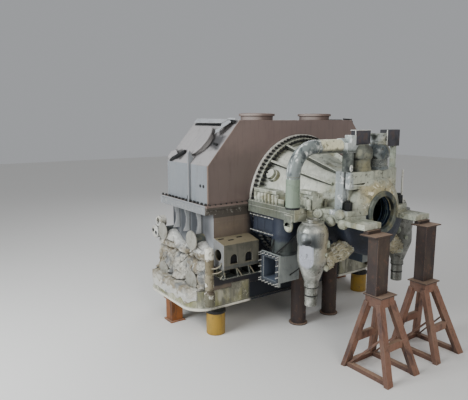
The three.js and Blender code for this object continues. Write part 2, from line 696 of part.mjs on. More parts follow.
// hollow box with a sloping top, from its outer to its inner end
function footBox(inset) {
  const [front, back, bottom] = [FOOT_FRONT + inset, -Math.max(inset, GAP), FOOT_BOTTOM + inset];
  return alongX([[front, bottom], [back, bottom], [back, 2710 - 1.5 * inset],
    [front, 2600 - 1.25 * inset]], -FOOT_OUTER + inset, -FOOT_INNER - inset);
}

function hoodFoot() {
  const sideHole = drumX(150, -FOOT_OUTER - 150, -FOOT_OUTER + 150, -215, 2290, 24);
  return cut(footBox(0), footBox(FOOT_WALL), sideHole, ...ARCH_PLACES.map(archHole));
}

function footGirder() {
  const top = FOOT_BOTTOM - GAP;
  const floor = GIRDER_BOTTOM + 20;
  const sole = block([-FOOT_OUTER - 10, -GIRDER_INNER + 20], [FOOT_FRONT, -GAP],
    [GIRDER_BOTTOM, GIRDER_BOTTOM + 30]);
  const web = block([-FOOT_OUTER, -GIRDER_INNER], [-130, -100], [floor, top]);
  const stiffeners = [-3010, -2600, -2200, -1800].map((x) => alongY(
    [[x, floor], [x + 40, floor], [x - 10, top], [x - 50, top]], FOOT_FRONT + 15, -115));
  return join(sole, web, ...stiffeners);
}

// blanked pipe stubs in the wrapping on the side of the hood, in Y, Z and radius
const sideStubs = [[570, 2540, 300], [500, 1570, 270], [1290, 1580, 300], [2250, 1560, 280],
  [2270, 2480, 280]];

function steamConnections() {
  const wall = -LOWER_HOOD_HALF_WIDTH - GAP;
  const [end, root] = [WRAPPING_FACE - STUB_REACH, WRAPPING_FACE + 20];
  const floor = LOWER_HOOD_BOTTOM + GAP;
  const panel = alongX([[140, floor], [2880, floor], [2880, 2620], [1980, 2640], [1900, 2250],
    [900, 2180], [860, 2640], [300, 2640], [140, 2400]], WRAPPING_FACE, wall);
  const stubs = sideStubs.map(([y, z, radius]) => drumX(radius, end, root, y, z, 28));
  const ring = cut(drumX(230, end, root, 2740, 2250, 28),
    drumX(60, end - 80, end + 80, 2690, 2190, 16), drumX(60, end - 80, end + 80, 2790, 2330, 16));
  return join(cut(panel, kneeRoom()), ring, ...stubs);
}

// room for the knee ribs of the hood
function kneeRoom() {
  const half = KNEE_THICKNESS / 2 + 10;
  return join(...KNEE_PLACES.map((y) => block([-3300, -2900], [y - half, y + half],
    [KNEE_BOTTOM - 20, JOINT_Z])));
}

// stands against the rounded corner of the neck
function cornerPipe() {
  const angle = THREE.MathUtils.degToRad(CORNER_PIPE_ANGLE);
  const reach = NECK_CORNER + CORNER_SLEEVE_RADIUS + GAP;
  const x = NECK_CORNER - NECK_HALF_WIDTH - reach * Math.sin(angle);
  const y = NECK_CORNER - reach * Math.cos(angle);
  return join(drumZ(CORNER_SLEEVE_RADIUS, 900, 1260, x, y, 24),
    drumZ(CORNER_PIPE_RADIUS, 1250, CORNER_PIPE_TOP, x, y, 24));
}

// Stands

function hoodPost() {
  const top = NECK_BOTTOM - GAP;
  return turnedZ([[0, 0], [HOOD_POST_RADIUS, 0], [HOOD_POST_RADIUS, top - 80],
    [HOOD_POST_RADIUS + 20, top - 80], [HOOD_POST_RADIUS + 20, top], [0, top]], 32);
}

function rearStand() {
  const top = NECK_BOTTOM - GAP;
  const plate = [-230, 230];
  const shaft = [-180, 180];
  return join(block(plate, plate, [0, 40]), block(shaft, shaft, [30, top - 30]),
    block(plate, plate, [top - 40, top]));
}

function middlePost() {
  return drumZ(MIDDLE_POST_RADIUS, 0, MIDDLE_PAD_BOTTOM - GAP, 0, 0, 32);
}

function column() {
  const bottom = TRESTLE_TOP + GAP;
  const [x, y] = COLUMN_SHIFT;
  return join(
    block([-290, 290], [-270, 270], [bottom, bottom + 30]),
    block([x - 210, x + 210], [y - 145, y + 145], [bottom + 20, COLUMN_TOP - 20]),
    block([x - 355, x + 255], [y - 180, y + 280], [COLUMN_TOP - 30, COLUMN_TOP]),
    block([x - 280, x + 180], [y + 100, y + 240], [COLUMN_TOP - 10, SHIM_TOP]),
  );
}

// four spread legs under a head, tied by sills on the floor, rungs and slanted braces
function trestle() {
  const [left, right, front, back] = [-520, 400, -740, 460];
  const [neckX, neckY] = [190, 170];
  const [sill, sillTop] = [60, 110];
  const rungShare = 0.45;
  const braceShare = 0.6;
  const corners = [[left, front], [left, back], [right, front], [right, back]];
  const legs = corners.map(([x, y]) => bar([1.12 * x, 1.12 * y, -160],
    [Math.sign(x) * neckX, Math.sign(y) * neckY, TRESTLE_HEAD + 80], 200, 110));
  const head = block([-245, 245], [-225, 225], [TRESTLE_HEAD, TRESTLE_TOP]);
  const sills = [
    block([left - sill, left + sill], [front, back], [0, sillTop]),
    block([right - sill, right + sill], [front, back], [0, sillTop]),
    block([left, right], [back - sill, back + sill], [0, sillTop]),
  ];
  const rungX = [mixed(left, -neckX, rungShare), mixed(right, neckX, rungShare)];
  const rungs = [mixed(front, -neckY, rungShare), mixed(back, neckY, rungShare)].map(
    (y) => block(rungX, [y - 50, y + 50], [640, 820]));
  const braceTop = mixed(front, -neckY, braceShare);
  const braces = [
    bar([left, back - 60, 60], [mixed(left, -neckX, braceShare), braceTop, 940], 50, 40),
    bar([right, back - 60, 60], [mixed(right, neckX, braceShare), braceTop, 940], 50, 40),
  ];
  const frame = join(head, ...legs, ...sills, ...rungs, ...braces);
  return common(frame, block([-FAR, FAR], [-FAR, FAR], [0, TRESTLE_TOP]));
}

function mixed(a, b, share) {
  return a + (b - a) * share;
}

// Assembly

const machine = new THREE.Group();
machine.position.y = HOOD_FRONT_Y;

function place(name, geometry, material, x = 0, y = 0, z = 0) {
  const mesh = new THREE.Mesh(toGeometry(toSolid(geometry)), material);
  mesh.name = name;
  mesh.position.set(x, y, z);
  machine.add(mesh);
  return mesh;
}

// a left piece drawn at its place and its mirror image on the right
function placePair(name, geometry, material, x = 0, y = 0, z = 0) {
  place(`left_${name}`, geometry, material, -x, y, z);
  place(`right_${name}`, mirrored(geometry), material, x, y, z);
}

place('upper_exhaust_hood', upperHood(), materials.hoodPaint);
place('lower_exhaust_hood', lowerHood(), materials.hoodPaint);
place('exhaust_neck', exhaustNeck(), materials.neckPaint);
place('rear_gland_housing', rearGland(), materials.castingPaint);
placePair('neck_cover', mirrored(neckCover()), materials.neckPaint);
placePair('relief_stub', reliefStub(), materials.hoodPaint, RELIEF_STUB_X, RELIEF_STUB_Y,
  JOINT_Z + HOOD_ROOF + GAP);

const slopeAngle = Math.atan2(HOOD_ROOF - HOOD_SHOULDER, HOOD_HALF_WIDTH - ROOF_HALF_WIDTH);
placePair('relief_cover', reliefCover().rotateY(-slopeAngle), materials.hoodPaint,
  mixed(HOOD_HALF_WIDTH, ROOF_HALF_WIDTH, RELIEF_COVER_SHARE) + GAP, RELIEF_COVER_Y,
  JOINT_Z + mixed(HOOD_SHOULDER, HOOD_ROOF, RELIEF_COVER_SHARE) + GAP);

place('upper_hood_ring', common(casingRing(), above(JOINT_Z)), materials.castingPaint);
place('lower_hood_ring', common(casingRing(), below(JOINT_Z - GAP)), materials.castingPaint);
place('upper_intermediate_casing', upperIntermediateCasing(), materials.castingPaint);
place('lower_intermediate_casing', lowerIntermediateCasing(), materials.darkCasting);
place('upper_front_casing', upperFrontCasing(), materials.castingPaint);
place('lower_front_casing', lowerFrontCasing(), materials.darkCasting);
place('front_gland_collar', glandCollar(), materials.castingPaint);

place('left_valve_tower', valveTower(), materials.castingPaint, LEFT_TOWER_X, TOWER_Y,
  BLOCK_TOP + GAP);
place('right_valve_tower', valveTower(), materials.castingPaint, RIGHT_TOWER_X, TOWER_Y,
  BLOCK_TOP + GAP);
place('left_valve_box', valveBox(), materials.primer, LEFT_TOWER_X, TOWER_Y, TOWER_TOP + 2 * GAP);
place('right_valve_cap', valveCap(), materials.castingPaint, RIGHT_TOWER_X, TOWER_Y,
  TOWER_TOP + 2 * GAP);
place('left_inlet_block', inletBlock(), materials.castingPaint);
place('right_inlet_block', rightInletBlock(), materials.primer);
place('inlet_elbow_pipe', elbowPipe(), materials.steel);
place('right_drop_pipe', dropPipe(), materials.castingPaint);

placePair('stop_valve', stopValve(), materials.valvePaint, STOP_VALVE_X, STOP_VALVE_Y);
placePair('lagged_branch', laggedBranch(), materials.lagging);
placePair('extraction_nozzle', extractionNozzle(), materials.darkCasting);
placePair('extraction_duct', extractionDuct(), materials.castingPaint);
placePair('hood_foot', hoodFoot(), materials.hoodPaint);
placePair('foot_girder', footGirder(), materials.hoodPaint);
placePair('steam_connections', steamConnections(), materials.wrapping);
placePair('corner_pipe', cornerPipe(), materials.neckPaint);

placePair('hood_post', hoodPost(), materials.postPaint, HOOD_POST_X, HOOD_POST_Y);
placePair('rear_stand', rearStand(), materials.postPaint, REAR_STAND_X, REAR_STAND_Y);
placePair('middle_post', middlePost(), materials.primer, MIDDLE_POST_X, MIDDLE_POST_Y);
placePair('column', column(), materials.primer, COLUMN_X, COLUMN_Y);
placePair('trestle', trestle(), materials.trestlePrimer, COLUMN_X, COLUMN_Y);

const turbine = new THREE.Group();
turbine.add(machine);

export default turbine;
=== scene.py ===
"""Steam turbine casing with its exhaust hood on assembly stands: finishes, fasteners and wrapping."""

from math import atan2, cos, exp, hypot, pi, radians, sin, sqrt

import bmesh
import bpy
from mathutils import Matrix, Vector, noise


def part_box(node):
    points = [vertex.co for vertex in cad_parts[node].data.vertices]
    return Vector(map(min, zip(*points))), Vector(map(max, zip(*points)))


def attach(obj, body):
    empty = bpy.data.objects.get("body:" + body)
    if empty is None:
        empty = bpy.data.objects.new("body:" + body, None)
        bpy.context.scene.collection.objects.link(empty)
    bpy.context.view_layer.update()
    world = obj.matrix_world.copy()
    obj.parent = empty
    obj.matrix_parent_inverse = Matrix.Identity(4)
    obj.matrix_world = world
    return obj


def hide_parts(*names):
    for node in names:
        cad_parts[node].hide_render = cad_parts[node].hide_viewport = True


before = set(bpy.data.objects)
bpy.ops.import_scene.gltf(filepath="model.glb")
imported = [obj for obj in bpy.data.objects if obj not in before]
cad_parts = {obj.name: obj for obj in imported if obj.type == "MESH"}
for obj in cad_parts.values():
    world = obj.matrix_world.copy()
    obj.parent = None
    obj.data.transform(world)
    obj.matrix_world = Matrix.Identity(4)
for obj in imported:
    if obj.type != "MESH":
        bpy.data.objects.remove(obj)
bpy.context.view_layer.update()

bl_info = {
    "name": "Steam turbine casing",
    "version": (1, 0, 0),
    "blender": (4, 5, 0),
    "location": "View3D > Sidebar > Turbine",
    "description": "Dresses a steam turbine casing with paint, fasteners, wrapping and lagging",
    "category": "Add Mesh",
}

# Places that come from the frame, in metres. Y of a shape is measured from the hood's front face.
NECK_RIM = 0.03
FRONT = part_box("exhaust_neck")[0].y + NECK_RIM
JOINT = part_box("upper_hood_ring")[0].z
RING_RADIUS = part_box("upper_hood_ring")[1].x
HOOD_SIDE = 3.21
SHOULDER = 4.65
ROOF = 5.83
ROOF_SIDE = 2.19
FLANGE_TOP = JOINT + 0.12
FLANGE_BOTTOM = JOINT - 0.20
FLANGE_FOOT = FLANGE_TOP - 0.02
HOOD_LEDGE = FLANGE_TOP - 0.07
CASING_FRONT = -0.20
CASING_JOINT = -2.4403
LOWER_SIDE = 3.05
LEFT_TOWER = -0.45
RIGHT_TOWER = 0.21
TOWER_Y = -2.66
TOWER_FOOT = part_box("left_valve_tower")[0].z
GAP = 0.0003
SMOOTH = 96
SHARP = radians(32)
SIDES = (-1, 1)
LEFT, FORWARD, BACK, UP = (-1, 0, 0), (0, -1, 0), (0, 1, 0), (0, 0, 1)
SLOPE_NORMAL = (-0.756, 0, 0.654)
VALVE_FACET = (-0.948, -0.32, 0)


def ink(code):
    """Linear colour of a hexadecimal screen colour."""
    values = [int(code[i:i + 2], 16) / 255 for i in (0, 2, 4)]
    return tuple(v / 12.92 if v <= 0.04045 else ((v + 0.055) / 1.055) ** 2.4 for v in values)


def colour_property(label, code):
    return bpy.props.FloatVectorProperty(name=label, description=f"Colour of the {label.lower()}",
                                         default=ink(code), subtype="COLOR", min=0.0, max=1.0)


def length_property(label, about, metres):
    return bpy.props.FloatProperty(name=label, description=about, default=metres, min=0.0,
                                   subtype="DISTANCE", unit="LENGTH")


class TurbineSizes(bpy.types.PropertyGroup):
    """Sizes that a user may change"""

    ring_stud_pitch: length_property("Ring stud pitch", "Distance between studs of the ring", 0.112)
    ring_stud_radius: length_property("Ring stud radius", "Radius of the nuts of the ring", 0.036)
    joint_bolt_pitch: length_property("Joint bolt pitch", "Distance between hood joint bolts", 0.2)
    flange_nut_height: length_property("Flange nut height", "Height of the casing's cap nuts", 0.17)
    rib_thickness: length_property("Rib thickness", "Thickness of the ribs on the cone", 0.044)
    wrapping_fold: length_property("Wrapping fold", "Depth of the folds in the wrapping", 0.05)
    bevel: length_property("Edge rounding", "Rounding of the hood's edges", 0.008)


class TurbineColours(bpy.types.PropertyGroup):
    """Colours that a user may change"""

    # Hood front, sides and slopes: partly their paint, partly painted light, the front shaded and the sides
    # and slopes lit
    hood_front: colour_property("Hood front", "84736d")
    hood_side: colour_property("Hood sides", "84888c")
    hood_slope: colour_property("Hood slopes", "a19d9c")
    hood_edge: colour_property("Hood edge line", "b89d80")
    lower_hood: colour_property("Lower hood", "76695d")
    neck: colour_property("Neck paint", "bab8a4")
    neck_stain: colour_property("Neck stain", "7f7d45")
    casting: colour_property("Casting paint", "b6baaa")
    casting_pale: colour_property("Pale casting patches", "d6d7c6")
    casting_olive: colour_property("Olive casting patches", "6a6c59")
    # Dark navy of the casting below the joint: painted shade
    casting_dark: colour_property("Dark casting", "222a3a")
    ring: colour_property("Ring band", "f0eee4")
    golden: colour_property("Golden heat tint", "b8ad86")
    silver: colour_property("Silver paint", "aeb6b7")
    tan: colour_property("Tan heat tint", "d6cbab")
    lagging: colour_property("Lagging", "d3caa9")
    wrapping: colour_property("Wrapping", "e4e0d3")
    steel: colour_property("Bolt steel", "8f8f8a")
    # Soot and oil, also the colour of painted shade in corners and under sheets
    soot: colour_property("Soot and oil", "16181d")
    rust: colour_property("Rust", "6d4a36")
    column: colour_property("Column primer", "3e312c")
    trestle: colour_property("Trestle primer", "8a6350")
    yellow: colour_property("Post paint", "a8852f")
    floor: colour_property("Floor", "efede9")


# Mesh tools. A shape is a drawing tool with its values, and drawn() puts shapes into one mesh.

def drawn(shapes, bm=None):
    bm = bm or bmesh.new()
    for draw, *values in shapes:
        draw(bm, *values)
    return bm


def skin(bm, rows, wrap_rows=False, wrap_columns=False):
    """Quads between neighbouring rows of vertices."""
    pairs = list(zip(rows, rows[1:]))
    if wrap_rows:
        pairs.append((rows[-1], rows[0]))
    for first, second in pairs:
        count = len(first)
        for k in range(count if wrap_columns else count - 1):
            n = (k + 1) % count
            bm.faces.new((first[k], first[n], second[n], second[k]))


def capped(bm, rows):
    """Skin round closed rows, with a face over the first and the last."""
    skin(bm, rows, wrap_columns=True)
    bm.faces.new(rows[0])
    bm.faces.new(rows[-1][::-1])


def spot(axis, u, v, along):
    """Point from two coordinates across an axis and one along it."""
    return {"X": (along, u, v), "Y": (u, along, v), "Z": (u, v, along)}[axis]


def prism(bm, outline, axis, low, high):
    """Outline across an axis, closed at both ends."""
    capped(bm, [[bm.verts.new(spot(axis, u, v, end)) for u, v in outline] for end in (low, high)])


def box(bm, x, y, z):
    prism(bm, [(x[0], y[0]), (x[1], y[0]), (x[1], y[1]), (x[0], y[1])], "Z", *z)


def turned(bm, profile, axis="Y", centre=(0, 0, 0), sides=SMOOTH, start=0, sweep=360, ring=False):
    """Profile of radius and place along the axis, turned about it. A ring's profile closes on itself."""
    full = sweep == 360
    rows = []
    for i in range(sides if full else sides + 1):
        angle = radians(start + sweep * i / sides)
        rows.append([bm.verts.new(Vector(spot(axis, r * cos(angle), r * sin(angle), along))
                                  + Vector(centre)) for r, along in profile])
    skin(bm, rows, wrap_rows=full, wrap_columns=ring)
    if not full:
        bm.faces.new(rows[0])
        bm.faces.new(rows[-1][::-1])
    bmesh.ops.remove_doubles(bm, verts=[vert for row in rows for vert in row], dist=1e-5)


def upright(bm, profile, x=0, y=0, z=0, sides=SMOOTH):
    """Solid turned about a vertical axis."""
    turned(bm, profile, "Z", (x, y, z), sides)


def hoop(bm, profile, axis="Y", centre=(0, 0, JOINT), sides=SMOOTH):
    """Ring, about the shaft unless told otherwise."""
    turned(bm, profile, axis, centre, sides, ring=True)


def half_hoop(bm, profile, upper, sides=SMOOTH):
    """Upper or lower half of a ring about the shaft."""
    turned(bm, profile, "Y", (0, 0, JOINT), sides, 0 if upper else 180, 180, ring=True)


def placed(bm, matrix, draw, *values):
    """Adds a shape that is drawn by itself and then moved by a matrix."""
    part = drawn([(draw, *values)])
    bmesh.ops.transform(part, matrix=matrix, verts=part.verts)
    mesh = bpy.data.meshes.new("part")
    part.to_mesh(mesh)
    part.free()
    bm.from_mesh(mesh)
    bpy.data.meshes.remove(mesh)


def disc(bm, centre, aim, radius, thickness, crown=0.0, sides=32):
    """Round boss with its foot at centre, pointing along aim."""
    profile = [(0, 0), (radius, 0), (radius, thickness * 0.75), (radius * 0.9, thickness),
               (0, thickness + crown)]
    turn = Vector(aim).to_track_quat("Z", "Y").to_matrix().to_4x4()
    placed(bm, Matrix.Translation(centre) @ turn, upright, profile, 0, 0, 0, sides)


def tube(bm, path, radius, sides=32, inner=None):
    """Round tube along points, closed at its ends or open with an inner radius."""
    points = [Vector(p) for p in path]
    across = None
    rings, inside = [], []
    for i, point in enumerate(points):
        ahead = (points[min(i + 1, len(points) - 1)] - points[max(i - 1, 0)]).normalized()
        if across is None:
            across = ahead.orthogonal().normalized()
        across = (across - ahead * across.dot(ahead)).normalized()
        side = ahead.cross(across)
        for reach, rows in ((radius, rings), (inner, inside)):
            if reach:
                rows.append([bm.verts.new(point + (across * cos(a) + side * sin(a)) * reach)
                             for a in (2 * pi * k / sides for k in range(sides))])
    if inner:
        skin(bm, rings + inside[::-1], wrap_rows=True, wrap_columns=True)
    else:
        capped(bm, rings)


def bar(bm, start, end, width, depth, up=UP):
    """Square bar between two points."""
    start, end = Vector(start), Vector(end)
    along = (end - start).normalized()
    side = along.cross(Vector(up)).normalized() * width / 2
    rise = side.cross(along).normalized() * depth / 2
    capped(bm, [[bm.verts.new(p + side * a + rise * b) for a, b in ((-1, -1), (1, -1), (1, 1), (-1, 1))]
                for p in (start, end)])


def arc(radius, start, end, steps):
    """Points of an arc, in degrees."""
    angles = (radians(start + (end - start) * i / steps) for i in range(steps + 1))
    return [(radius * cos(a), radius * sin(a)) for a in angles]


def mirrored(bm):
    """Copy of a mesh on the other side of the machine."""
    other = bm.copy()
    bmesh.ops.scale(other, vec=(-1, 1, 1), verts=other.verts)
    bmesh.ops.reverse_faces(other, faces=other.faces)
    return other


def shown(name, mesh, paint, nodes=()):
    """Object at the origin that rides with the machine and stands for its CAD nodes."""
    mesh.name = name
    mesh.materials.clear()
    mesh.materials.append(paints()[paint])
    piece = bpy.data.objects.new(name, mesh)
    bpy.context.scene.collection.objects.link(piece)
    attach(piece, "root")
    if nodes:
        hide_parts(*nodes)
    return piece


def applied(mesh, kind, settings):
    """Mesh as a modifier leaves it, without the modifier."""
    holder = bpy.data.objects.new("holder", mesh)
    bpy.context.scene.collection.objects.link(holder)
    settings(holder.modifiers.new(kind.title(), kind))
    graph = bpy.context.evaluated_depsgraph_get()
    result = bpy.data.meshes.new_from_object(holder.evaluated_get(graph))
    bpy.data.objects.remove(holder)
    return result


def piece_of(name, paint, drawing, nodes=(), bevel=0.0, shift=True):
    """Piece drawn from the hood's front face, with its sharp edges rounded."""
    def rounded(edge):
        edge.width = bevel
        edge.segments = 2
        edge.limit_method = "ANGLE"
        edge.angle_limit = SHARP
        edge.harden_normals = True

    bm = drawn(drawing) if isinstance(drawing, list) else drawing
    if shift:
        bmesh.ops.translate(bm, vec=(0, FRONT, 0), verts=bm.verts)
    bmesh.ops.recalc_face_normals(bm, faces=bm.faces)
    mesh = bpy.data.meshes.new(name)
    bm.to_mesh(mesh)
    bm.free()
    mesh.shade_smooth()
    mesh.set_sharp_from_angle(angle=SHARP)
    return shown(name, applied(mesh, "BEVEL", rounded) if bevel else mesh, paint, nodes)


def pair_of(name, paint, drawing, node="", bevel=0.0):
    """Left piece and its mirror image on the right, which may stand for a pair of CAD nodes."""
    left = drawn(drawing) if isinstance(drawing, list) else drawing
    return [piece_of(f"{side}_{name}", paint, bm, [f"{side}_{node}"] if node else [], bevel)
            for side, bm in (("left", left), ("right", mirrored(left)))]


def dressed(node, name, paint, slot, bevel, extra=()):
    """Copy of a CAD node with flat faces joined and edges rounded, with extra shapes drawn into it."""
    bm = bmesh.new()
    bm.from_mesh(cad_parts[node].data)
    bmesh.ops.remove_doubles(bm, verts=bm.verts, dist=2e-5)
    bmesh.ops.dissolve_limit(bm, angle_limit=radians(1), verts=bm.verts, edges=bm.edges)
    if extra:
        bmesh.ops.translate(bm, vec=(0, -FRONT, 0), verts=bm.verts)
    piece_of(name, paint, drawn(extra, bm), [node], bevel, shift=bool(extra))


def dressed_pairs(*pieces):
    """Dresses CAD nodes on the left, then on the right: node, name, paint, slot and rounding. The slot is
    not used.
    """
    for side in ("left", "right"):
        for node, name, *look in pieces:
            dressed(f"{side}_{node}", f"{side}_{name}", *look)


# Node trees

# Place of the random value node's float output, which shares its name with the node's other outputs
RANDOM_FLOAT = 1


def feed(tree, node, inputs):
    """Sets a node's inputs to values, or links them to sockets."""
    for label, value in inputs.items():
        if isinstance(value, bpy.types.NodeSocket):
            tree.links.new(value, node.inputs[label])
        else:
            node.inputs[label].default_value = value


def add(tree, kind, inputs=(), **settings):
    node = tree.nodes.new(kind)
    for key, value in settings.items():
        setattr(node, key, value)
    feed(tree, node, dict(inputs))
    return node


def new_tree(name, kind, inputs, output, output_kind):
    """Node group with its inputs, given by a default value or by the kind of socket, and its output."""
    tree = bpy.data.node_groups.new(name, kind)
    kinds = {float: "Float", int: "Int", tuple: "Vector"}
    for label, value in inputs.items():
        bare = isinstance(value, str)
        socket = tree.interface.new_socket(label, in_out="INPUT", socket_type="NodeSocket"
                                           + (value if bare else kinds[type(value)]))
        if not bare:
            socket.default_value = value
    tree.interface.new_socket(output, in_out="OUTPUT", socket_type=f"NodeSocket{output_kind}")
    return tree, tree.nodes.new("NodeGroupInput").outputs


def fastener_tree():
    """Nuts on studs, spaced along the edges of a mesh and pointing along its aim attribute."""
    tree, given = new_tree("fasteners along a path", "GeometryNodeTree", {
        "Geometry": "Geometry", "Spacing": 0.1, "Nut Radius": 0.03, "Nut Height": 0.04, "Crown Share": 1.0,
        "Stud Radius": 0.018, "Stud Height": 0.08, "Sides": 6, "Material": "Material"},
        "Geometry", "Geometry")
    curve = add(tree, "GeometryNodeMeshToCurve", {"Mesh": given["Geometry"]})
    spaced = add(tree, "GeometryNodeResampleCurve", {"Curve": curve.outputs["Curve"],
                                                     "Length": given["Spacing"]}, mode="LENGTH")
    crown = add(tree, "ShaderNodeMath", {0: given["Nut Radius"], 1: given["Crown Share"]},
                operation="MULTIPLY")
    nut = add(tree, "GeometryNodeMeshCone", {
        "Vertices": given["Sides"], "Radius Bottom": given["Nut Radius"], "Radius Top": crown.outputs[0],
        "Depth": given["Nut Height"]})
    stud = add(tree, "GeometryNodeMeshCone", {
        "Vertices": 10, "Radius Bottom": given["Stud Radius"], "Radius Top": given["Stud Radius"],
        "Depth": given["Stud Height"]})
    joined = add(tree, "GeometryNodeJoinGeometry", {"Geometry": nut.outputs["Mesh"]})
    tree.links.new(stud.outputs["Mesh"], joined.inputs["Geometry"])
    aim = add(tree, "GeometryNodeInputNamedAttribute", {"Name": "aim"}, data_type="FLOAT_VECTOR")
    turn = add(tree, "FunctionNodeAlignRotationToVector", {"Vector": aim.outputs["Attribute"]}, axis="Z")
    chance = add(tree, "FunctionNodeRandomValue", {"Max": (0, 0, 1.05), "Seed": 7},
                 data_type="FLOAT_VECTOR")
    spin = add(tree, "FunctionNodeRotateRotation", {
        "Rotation": turn.outputs["Rotation"], "Rotate By": chance.outputs["Value"]},
        rotation_space="LOCAL")
    size = add(tree, "FunctionNodeRandomValue", {"Min": 0.93, "Max": 1.05, "Seed": 11},
               data_type="FLOAT")
    copies = add(tree, "GeometryNodeInstanceOnPoints", {
        "Points": spaced.outputs["Curve"], "Instance": joined.outputs["Geometry"],
        "Rotation": spin.outputs["Rotation"], "Scale": size.outputs[RANDOM_FLOAT]})
    real = add(tree, "GeometryNodeRealizeInstances", {"Geometry": copies.outputs["Instances"]})
    painted_copies = add(tree, "GeometryNodeSetMaterial", {
        "Geometry": real.outputs["Geometry"], "Material": given["Material"]})
    add(tree, "NodeGroupOutput", {"Geometry": painted_copies.outputs["Geometry"]})
    return tree


def fasteners(name, runs, paint, spacing, nut, stud, crown=1.0, sides=6):
    """Fasteners along runs, each a list of points and the direction in which the studs point. Nut and
    stud are radius and height."""
    points, edges, aims = [], [], []
    for run, aim in runs:
        edges += [(k, k + 1) for k in range(len(points), len(points) + len(run) - 1)]
        points += [(x, y + FRONT, z) for x, y, z in run]
        aims += [aim] * len(run)
    path = bpy.data.meshes.new(name)
    path.from_pydata(points, edges, [])
    attribute = path.attributes.new("aim", "FLOAT_VECTOR", "POINT")
    for item, aim in zip(attribute.data, aims):
        item.vector = aim
    tree = bpy.data.node_groups.get("fasteners along a path") or fastener_tree()
    inputs = {item.name: item.identifier for item in tree.interface.items_tree if item.in_out == "INPUT"}
    values = {"Spacing": spacing, "Nut Radius": nut[0], "Nut Height": nut[1], "Crown Share": crown,
              "Stud Radius": stud[0], "Stud Height": stud[1], "Sides": sides, "Material": paints()[paint]}

    def set_up(maker):
        maker.node_group = tree
        for label, value in values.items():
            maker[inputs[label]] = value

    shown(name, applied(path, "NODES", set_up), paint)


def both_sides(*runs):
    """Runs and their mirror images."""
    flipped = [([(-x, y, z) for x, y, z in run], (-aim[0], aim[1], aim[2])) for run, aim in runs]
    return [*runs, *flipped]


# Shader node groups, which several finishes share. Each puts out a mask.

ORIGIN = (0.0, 0.0, 0.0)

# Places of the mix node's colour sockets, which share their names with its other types
MIX_SHARE, MIX_BELOW, MIX_ABOVE, MIX_RESULT = 0, 6, 7, 2


def mask_group(name, inputs):
    return new_tree(name, "ShaderNodeTree", {**inputs, "Low": 0.4, "High": 0.6, "Strength": 1.0},
                    "Mask", "Float")


def ranged(tree, given, value):
    """Ends a group with its value between Low and High, times its Strength."""
    scale = add(tree, "ShaderNodeMapRange", {"Value": value, "From Min": given["Low"], "From Max":
                given["High"], "To Max": given["Strength"]}, interpolation_type="SMOOTHSTEP")
    add(tree, "NodeGroupOutput", {"Mask": scale.outputs["Result"]})
    return tree


def vectors(tree, operation, *values):
    node = add(tree, "ShaderNodeVectorMath", enumerate(values), operation=operation)
    return node.outputs["Value" if operation == "DOT_PRODUCT" else "Vector"]


def numbers(tree, operation, *values):
    return add(tree, "ShaderNodeMath", enumerate(values), operation=operation).outputs[0]


def patches_group():
    """Cloudy patches; Stretch draws them out along an axis."""
    tree, given = mask_group("patches", {"Place": ORIGIN, "Stretch": (1.0, 1.0, 1.0), "Shift": ORIGIN,
                                         "Scale": 2.0, "Detail": 5.0, "Warp": 0.4})
    stretched = vectors(tree, "MULTIPLY", given["Place"], given["Stretch"])
    noisy = add(tree, "ShaderNodeTexNoise", {
        "Vector": vectors(tree, "ADD", stretched, given["Shift"]), "Scale": given["Scale"],
        "Detail": given["Detail"], "Distortion": given["Warp"], "Roughness": 0.62})
    return ranged(tree, given, noisy.outputs["Fac"])


def edges_group():
    """Worn edges and corners, where a rounded normal differs from the face's."""
    tree, given = mask_group("worn edges", {"Radius": 0.02})
    rounded = add(tree, "ShaderNodeBevel", {"Radius": given["Radius"]}, samples=4)
    flat = add(tree, "ShaderNodeNewGeometry")
    same = vectors(tree, "DOT_PRODUCT", rounded.outputs["Normal"], flat.outputs["Normal"])
    return ranged(tree, given, numbers(tree, "SUBTRACT", 1.0, same))


def shaded_corners_group():
    """Corners and gaps that little light reaches; colour along this mask paints shade there, together with
    dirt that gathers.
    """
    tree, given = mask_group("crevices", {"Distance": 0.3})
    shade = add(tree, "ShaderNodeAmbientOcclusion", {"Distance": given["Distance"]}, samples=6)
    return ranged(tree, given, numbers(tree, "SUBTRACT", 1.0, shade.outputs["AO"]))


def facing_group():
    """Faces that look along an axis."""
    tree, given = mask_group("facing", {"Axis": (0.0, 0.0, 1.0)})
    flat = add(tree, "ShaderNodeNewGeometry")
    return ranged(tree, given, vectors(tree, "DOT_PRODUCT", flat.outputs["Normal"], given["Axis"]))


def zone_group():
    """Box with a ragged border: 1 at its middle, falling to 0 past its faces."""
    tree, given = mask_group("zone", {"Place": ORIGIN, "Middle": ORIGIN, "Reach": (1.0, 1.0, 1.0),
                                      "Rag": 0.1})
    noisy = add(tree, "ShaderNodeTexNoise", {"Vector": given["Place"], "Scale": 5.0, "Detail": 4.0})
    centred = vectors(tree, "SUBTRACT", noisy.outputs["Color"], (0.5, 0.5, 0.5))
    ragged = add(tree, "ShaderNodeVectorMath", {0: centred, "Scale": given["Rag"]}, operation="SCALE")
    moved = vectors(tree, "ADD", given["Place"], ragged.outputs[0])
    offset = vectors(tree, "SUBTRACT", moved, given["Middle"])
    share = vectors(tree, "ABSOLUTE", vectors(tree, "DIVIDE", offset, given["Reach"]))
    x, y, z = add(tree, "ShaderNodeSeparateXYZ", {0: share}).outputs
    widest = numbers(tree, "MAXIMUM", numbers(tree, "MAXIMUM", x, y), z)
    return ranged(tree, given, numbers(tree, "SUBTRACT", 1.5, widest))


GROUPS = {"patches": patches_group, "worn edges": edges_group, "crevices": shaded_corners_group,
          "facing": facing_group, "zone": zone_group}


# Masks: a group's name with the values for its inputs

def cloud(scale, low, high, strength=1.0, **values):
    named = {label.title(): value for label, value in values.items()}
    return "patches", {"Scale": scale, "Low": low, "High": high, "Strength": strength, **named}


def face(axis, low, high, strength=1.0):
    return "facing", {"Axis": axis, "Low": low, "High": high, "Strength": strength}


